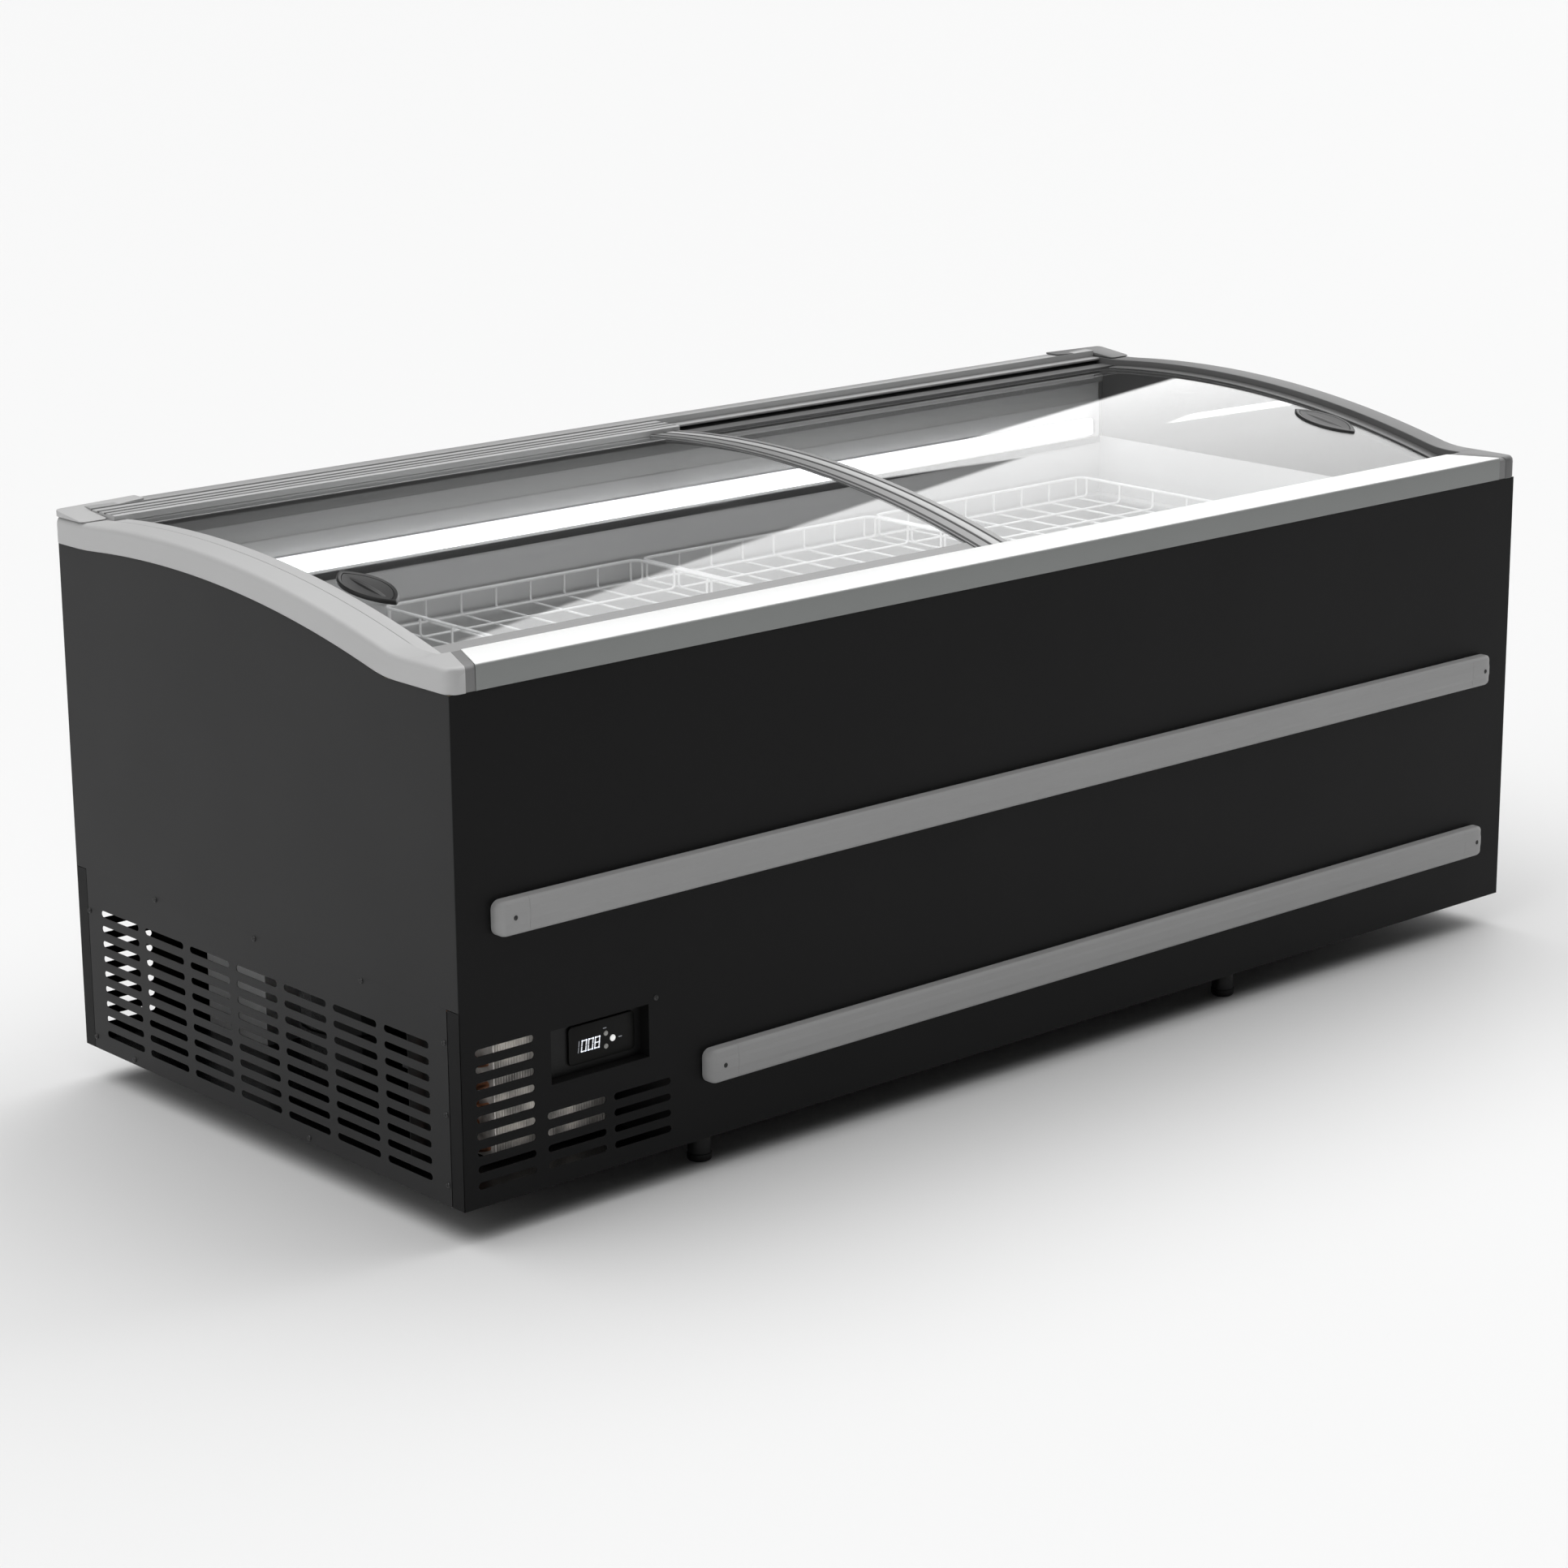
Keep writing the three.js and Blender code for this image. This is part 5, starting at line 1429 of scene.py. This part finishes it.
def screw_places():
    """Where the casing and bumper screws sit, as (point, facing), in millimetres."""
    left, right = corners("left_end_panel")[0][0], corners("right_end_panel")[1][0]
    front, back = corners("front_panel")[0][1], corners("rear_panel")[1][1]
    places = []
    for y, z in ((-235.6, 314.6), (13.8, 314.6), (260, 314.6), (437, 259), (437, 67.6), (336, 57.6),
                 (-100, 57.6), (-415.5, 274), (-415.5, 176), (-415.5, 79)):
        places.append(((left, y, z), (-1, 0, 0)))
    for y, z in ((-435, 700), (-435, 400), (-435, 80), (452, 700), (452, 400), (452, 80)):
        places.append(((right, y, z), (1, 0, 0)))
    places.append(((-725, front, 270), (0, -1, 0)))
    for x in (-1035, -500, 0, 500, 1035):
        for z in (70, 775):
            places.append(((x, back, z), (0, 1, 0)))
    for rail in ("bumper_upper", "bumper_lower"):
        (x0, y0, z0), _ = corners(f"{rail}_cap_left")
        x1, z1 = corners(f"{rail}_cap_right")[1][0], corners(f"{rail}_cap_right")[1][2]
        for x in (x0 + 26, x1 - 20):
            places.append(((x, y0 + 2.15, (z0 + z1) / 2), (0, -1, 0)))
    return places


class FREEZER_OT_screws(bpy.types.Operator):
    """Set the screw heads of the casing and the bumper rails"""

    bl_idname = "freezer.screws"
    bl_label = "Screws"

    def execute(self, context):
        head = screw_head()
        places = screw_places()
        points = [tuple(c * MM for c in point) for point, _ in places]
        facing = [direction for _, direction in places]
        width = context.scene.freezer_sizes.screw_head
        values = {"Width": width, "Seed": 3, "Material": FINISHES["screw_zinc"]}
        attributes = {"facing": ("FLOAT_VECTOR", facing)}
        obj = grown("casing_screws", points, [], screw_tree(head), values, attributes)
        bpy.data.objects.remove(head)
        keep(reshape(obj), CABINET, "screw_zinc")
        return {"FINISHED"}


# ---------------------------------------------------------------- stage
CAMERA = {
    "place": (-3.8992, -4.3222, 1.9340),
    "azimuth": -41.3139,
    "elevation": 15.3126,
    "roll": -0.4352,
    "lens": 90.85,
}

# Soft boxes of the studio, in degrees: (azimuth from, azimuth to, elevation from, elevation to, soft edge,
# brightness, lean of the first edge for each degree of elevation).
SOFT_BOXES = (
    (-181.0, 181.0, 47.0, 95.0, 12.0, 1.0, 0.0),
    (-110.0, 130.0, 44.0, 76.0, 7.0, 1.55, 0.0),
    (49.2, 112.0, 2.0, 21.0, 0.4, 1.7, -0.23),
    (51.3, 112.0, 21.0, 47.0, 0.4, 1.75, -0.16),
    (49.5, 52.2, 17.8, 18.8, 0.3, 1.6, 0.0),
    (-112.0, -58.0, -2.0, 47.0, 14.0, 0.72, 0.0),
)
AMBIENT = 0.04
FLOOR_REACH = 300


def add_softbox(t, azimuth, elevation, box):
    """One soft box of the studio: its brightness in each direction."""
    a0, a1, e0, e1, soft, brightness, lean = box
    azimuth = t.math("SUBTRACT", azimuth, t.math("MULTIPLY", elevation, lean))
    mask = None
    for value, low, high in ((azimuth, a0, a1), (elevation, e0, e1)):
        for edge, sign in ((low, 1), (high, -1)):
            ramp = t.node("ShaderNodeMapRange", {"Value": value}, interpolation_type="SMOOTHSTEP")
            ramp.inputs["From Min"].default_value = edge - sign * soft / 2
            ramp.inputs["From Max"].default_value = edge + sign * soft / 2
            part = ramp.outputs[0]
            mask = part if mask is None else t.math("MULTIPLY", mask, part)
    return t.math("MULTIPLY", mask, brightness)


def studio_world():
    """Soft boxes all round on a dim surround."""
    world = bpy.data.worlds.new("studio")
    world.use_nodes = True
    t = Tree(world.node_tree)
    background = next(n for n in world.node_tree.nodes if n.type == "BACKGROUND")
    direction = t.node("ShaderNodeSeparateXYZ", {0: t.node("ShaderNodeTexCoord").outputs["Generated"]})
    x, y, z = direction.outputs
    azimuth = t.math("MULTIPLY", t.math("ARCTAN2", x, y), 180 / math.pi)
    elevation = t.math("MULTIPLY", t.math("ARCSINE", z), 180 / math.pi)
    light = None
    for box in SOFT_BOXES:
        part = add_softbox(t, azimuth, elevation, box)
        light = part if light is None else t.math("ADD", light, part)
    t.feed(background.inputs["Strength"], t.math("ADD", light, AMBIENT))
    background.inputs["Color"].default_value = (1, 1, 1, 1)
    bpy.context.scene.world = world


def camera_matrix():
    """Place and turn of the camera."""
    a, e, r = (math.radians(CAMERA[k]) for k in ("azimuth", "elevation", "roll"))
    back = Vector((math.sin(a) * math.cos(e), -math.cos(a) * math.cos(e), math.sin(e)))
    right = Vector((math.cos(a), math.sin(a), 0))
    up = back.cross(right)
    right, up = right * math.cos(r) + up * math.sin(r), up * math.cos(r) - right * math.sin(r)
    matrix = Matrix((right, up, back)).transposed().to_4x4()
    matrix.translation = Vector(CAMERA["place"])
    return matrix


def soft_lamp(name, place, size, power):
    """A lamp facing the back that is not seen itself. place is its middle, in millimetres."""
    light = bpy.data.lights.new(name, "AREA")
    light.shape = "RECTANGLE"
    light.size, light.size_y = size
    light.energy = power
    lamp = bpy.data.objects.new(name, light)
    lamp.rotation_euler = (math.radians(90), 0, 0)
    lamp.location = [c * MM for c in place]
    lamp.visible_camera = False
    lamp.visible_glossy = False
    lamp.visible_transmission = False
    bpy.context.scene.collection.objects.link(lamp)


class FREEZER_OT_stage(bpy.types.Operator):
    """Set the floor, the studio light and the camera"""

    bl_idname = "freezer.stage"
    bl_label = "Stage"

    def execute(self, context):
        finish("studio_floor", context.scene.freezer_colours.floor, 0.9, specular=0.1, grain=30.0, bump=0.0,
               amount=0.0)
        mesh = bpy.data.meshes.new("floor")
        plan = rectangle(-FLOOR_REACH, FLOOR_REACH, -FLOOR_REACH, FLOOR_REACH)
        mesh.from_pydata([(x, y, 0) for x, y in plan], [], [(0, 1, 2, 3)])
        floor = bpy.data.objects.new("floor", mesh)
        mesh.materials.append(FINISHES["studio_floor"])
        context.scene.collection.objects.link(floor)
        studio_world()
        (x0, y0, z0), (_, _, z1) = corners("condenser")
        before_fins, before_tub = (x0 + 140, y0 - 55, (z0 + z1) / 2), (0, -300, 672)
        soft_lamp("slot_light", before_fins, (0.19, 0.22), 0.12)
        soft_lamp("tub_light", before_tub, (1.8, 0.12), 2.3)
        camera = bpy.data.cameras.new("camera")
        camera.lens = CAMERA["lens"]
        camera.sensor_width = 36
        camera.clip_end = 1000
        viewer = bpy.data.objects.new("camera", camera)
        viewer.matrix_world = camera_matrix()
        context.scene.collection.objects.link(viewer)
        context.scene.camera = viewer
        context.scene.view_settings.view_transform = "Standard"
        return {"FINISHED"}


# ---------------------------------------------------------------- add-on
STEPS = (
    FREEZER_OT_casing,
    FREEZER_OT_trims,
    FREEZER_OT_rails,
    FREEZER_OT_tub,
    FREEZER_OT_baskets,
    FREEZER_OT_lids,
    FREEZER_OT_bumpers,
    FREEZER_OT_controller,
    FREEZER_OT_machinery,
    FREEZER_OT_feet,
    FREEZER_OT_screws,
    FREEZER_OT_stage,
)


class FREEZER_PT_panel(bpy.types.Panel):
    """Lists the freezer's settings and pieces"""

    bl_idname = "FREEZER_PT_panel"
    bl_label = "Chest Freezer"
    bl_space_type = "VIEW_3D"
    bl_region_type = "UI"
    bl_category = "Freezer"

    def draw(self, context):
        layout = self.layout
        for group in (context.scene.freezer_sizes, context.scene.freezer_colours):
            box = layout.box()
            for name in group.__annotations__:
                box.prop(group, name)
        for step in STEPS:
            layout.operator(step.bl_idname)


CLASSES = (FreezerSizes, FreezerColours, *STEPS, FREEZER_PT_panel)


def register():
    for cls in CLASSES:
        bpy.utils.register_class(cls)
    bpy.types.Scene.freezer_sizes = PointerProperty(type=FreezerSizes)
    bpy.types.Scene.freezer_colours = PointerProperty(type=FreezerColours)


def unregister():
    del bpy.types.Scene.freezer_colours
    del bpy.types.Scene.freezer_sizes
    for cls in reversed(CLASSES):
        bpy.utils.unregister_class(cls)


def main():
    register()
    make_finishes(bpy.context.scene.freezer_colours)
    for step in STEPS:
        group, name = step.bl_idname.split(".")
        getattr(getattr(bpy.ops, group), name)()
    bpy.context.view_layer.update()


if __name__ == "__main__":
    main()
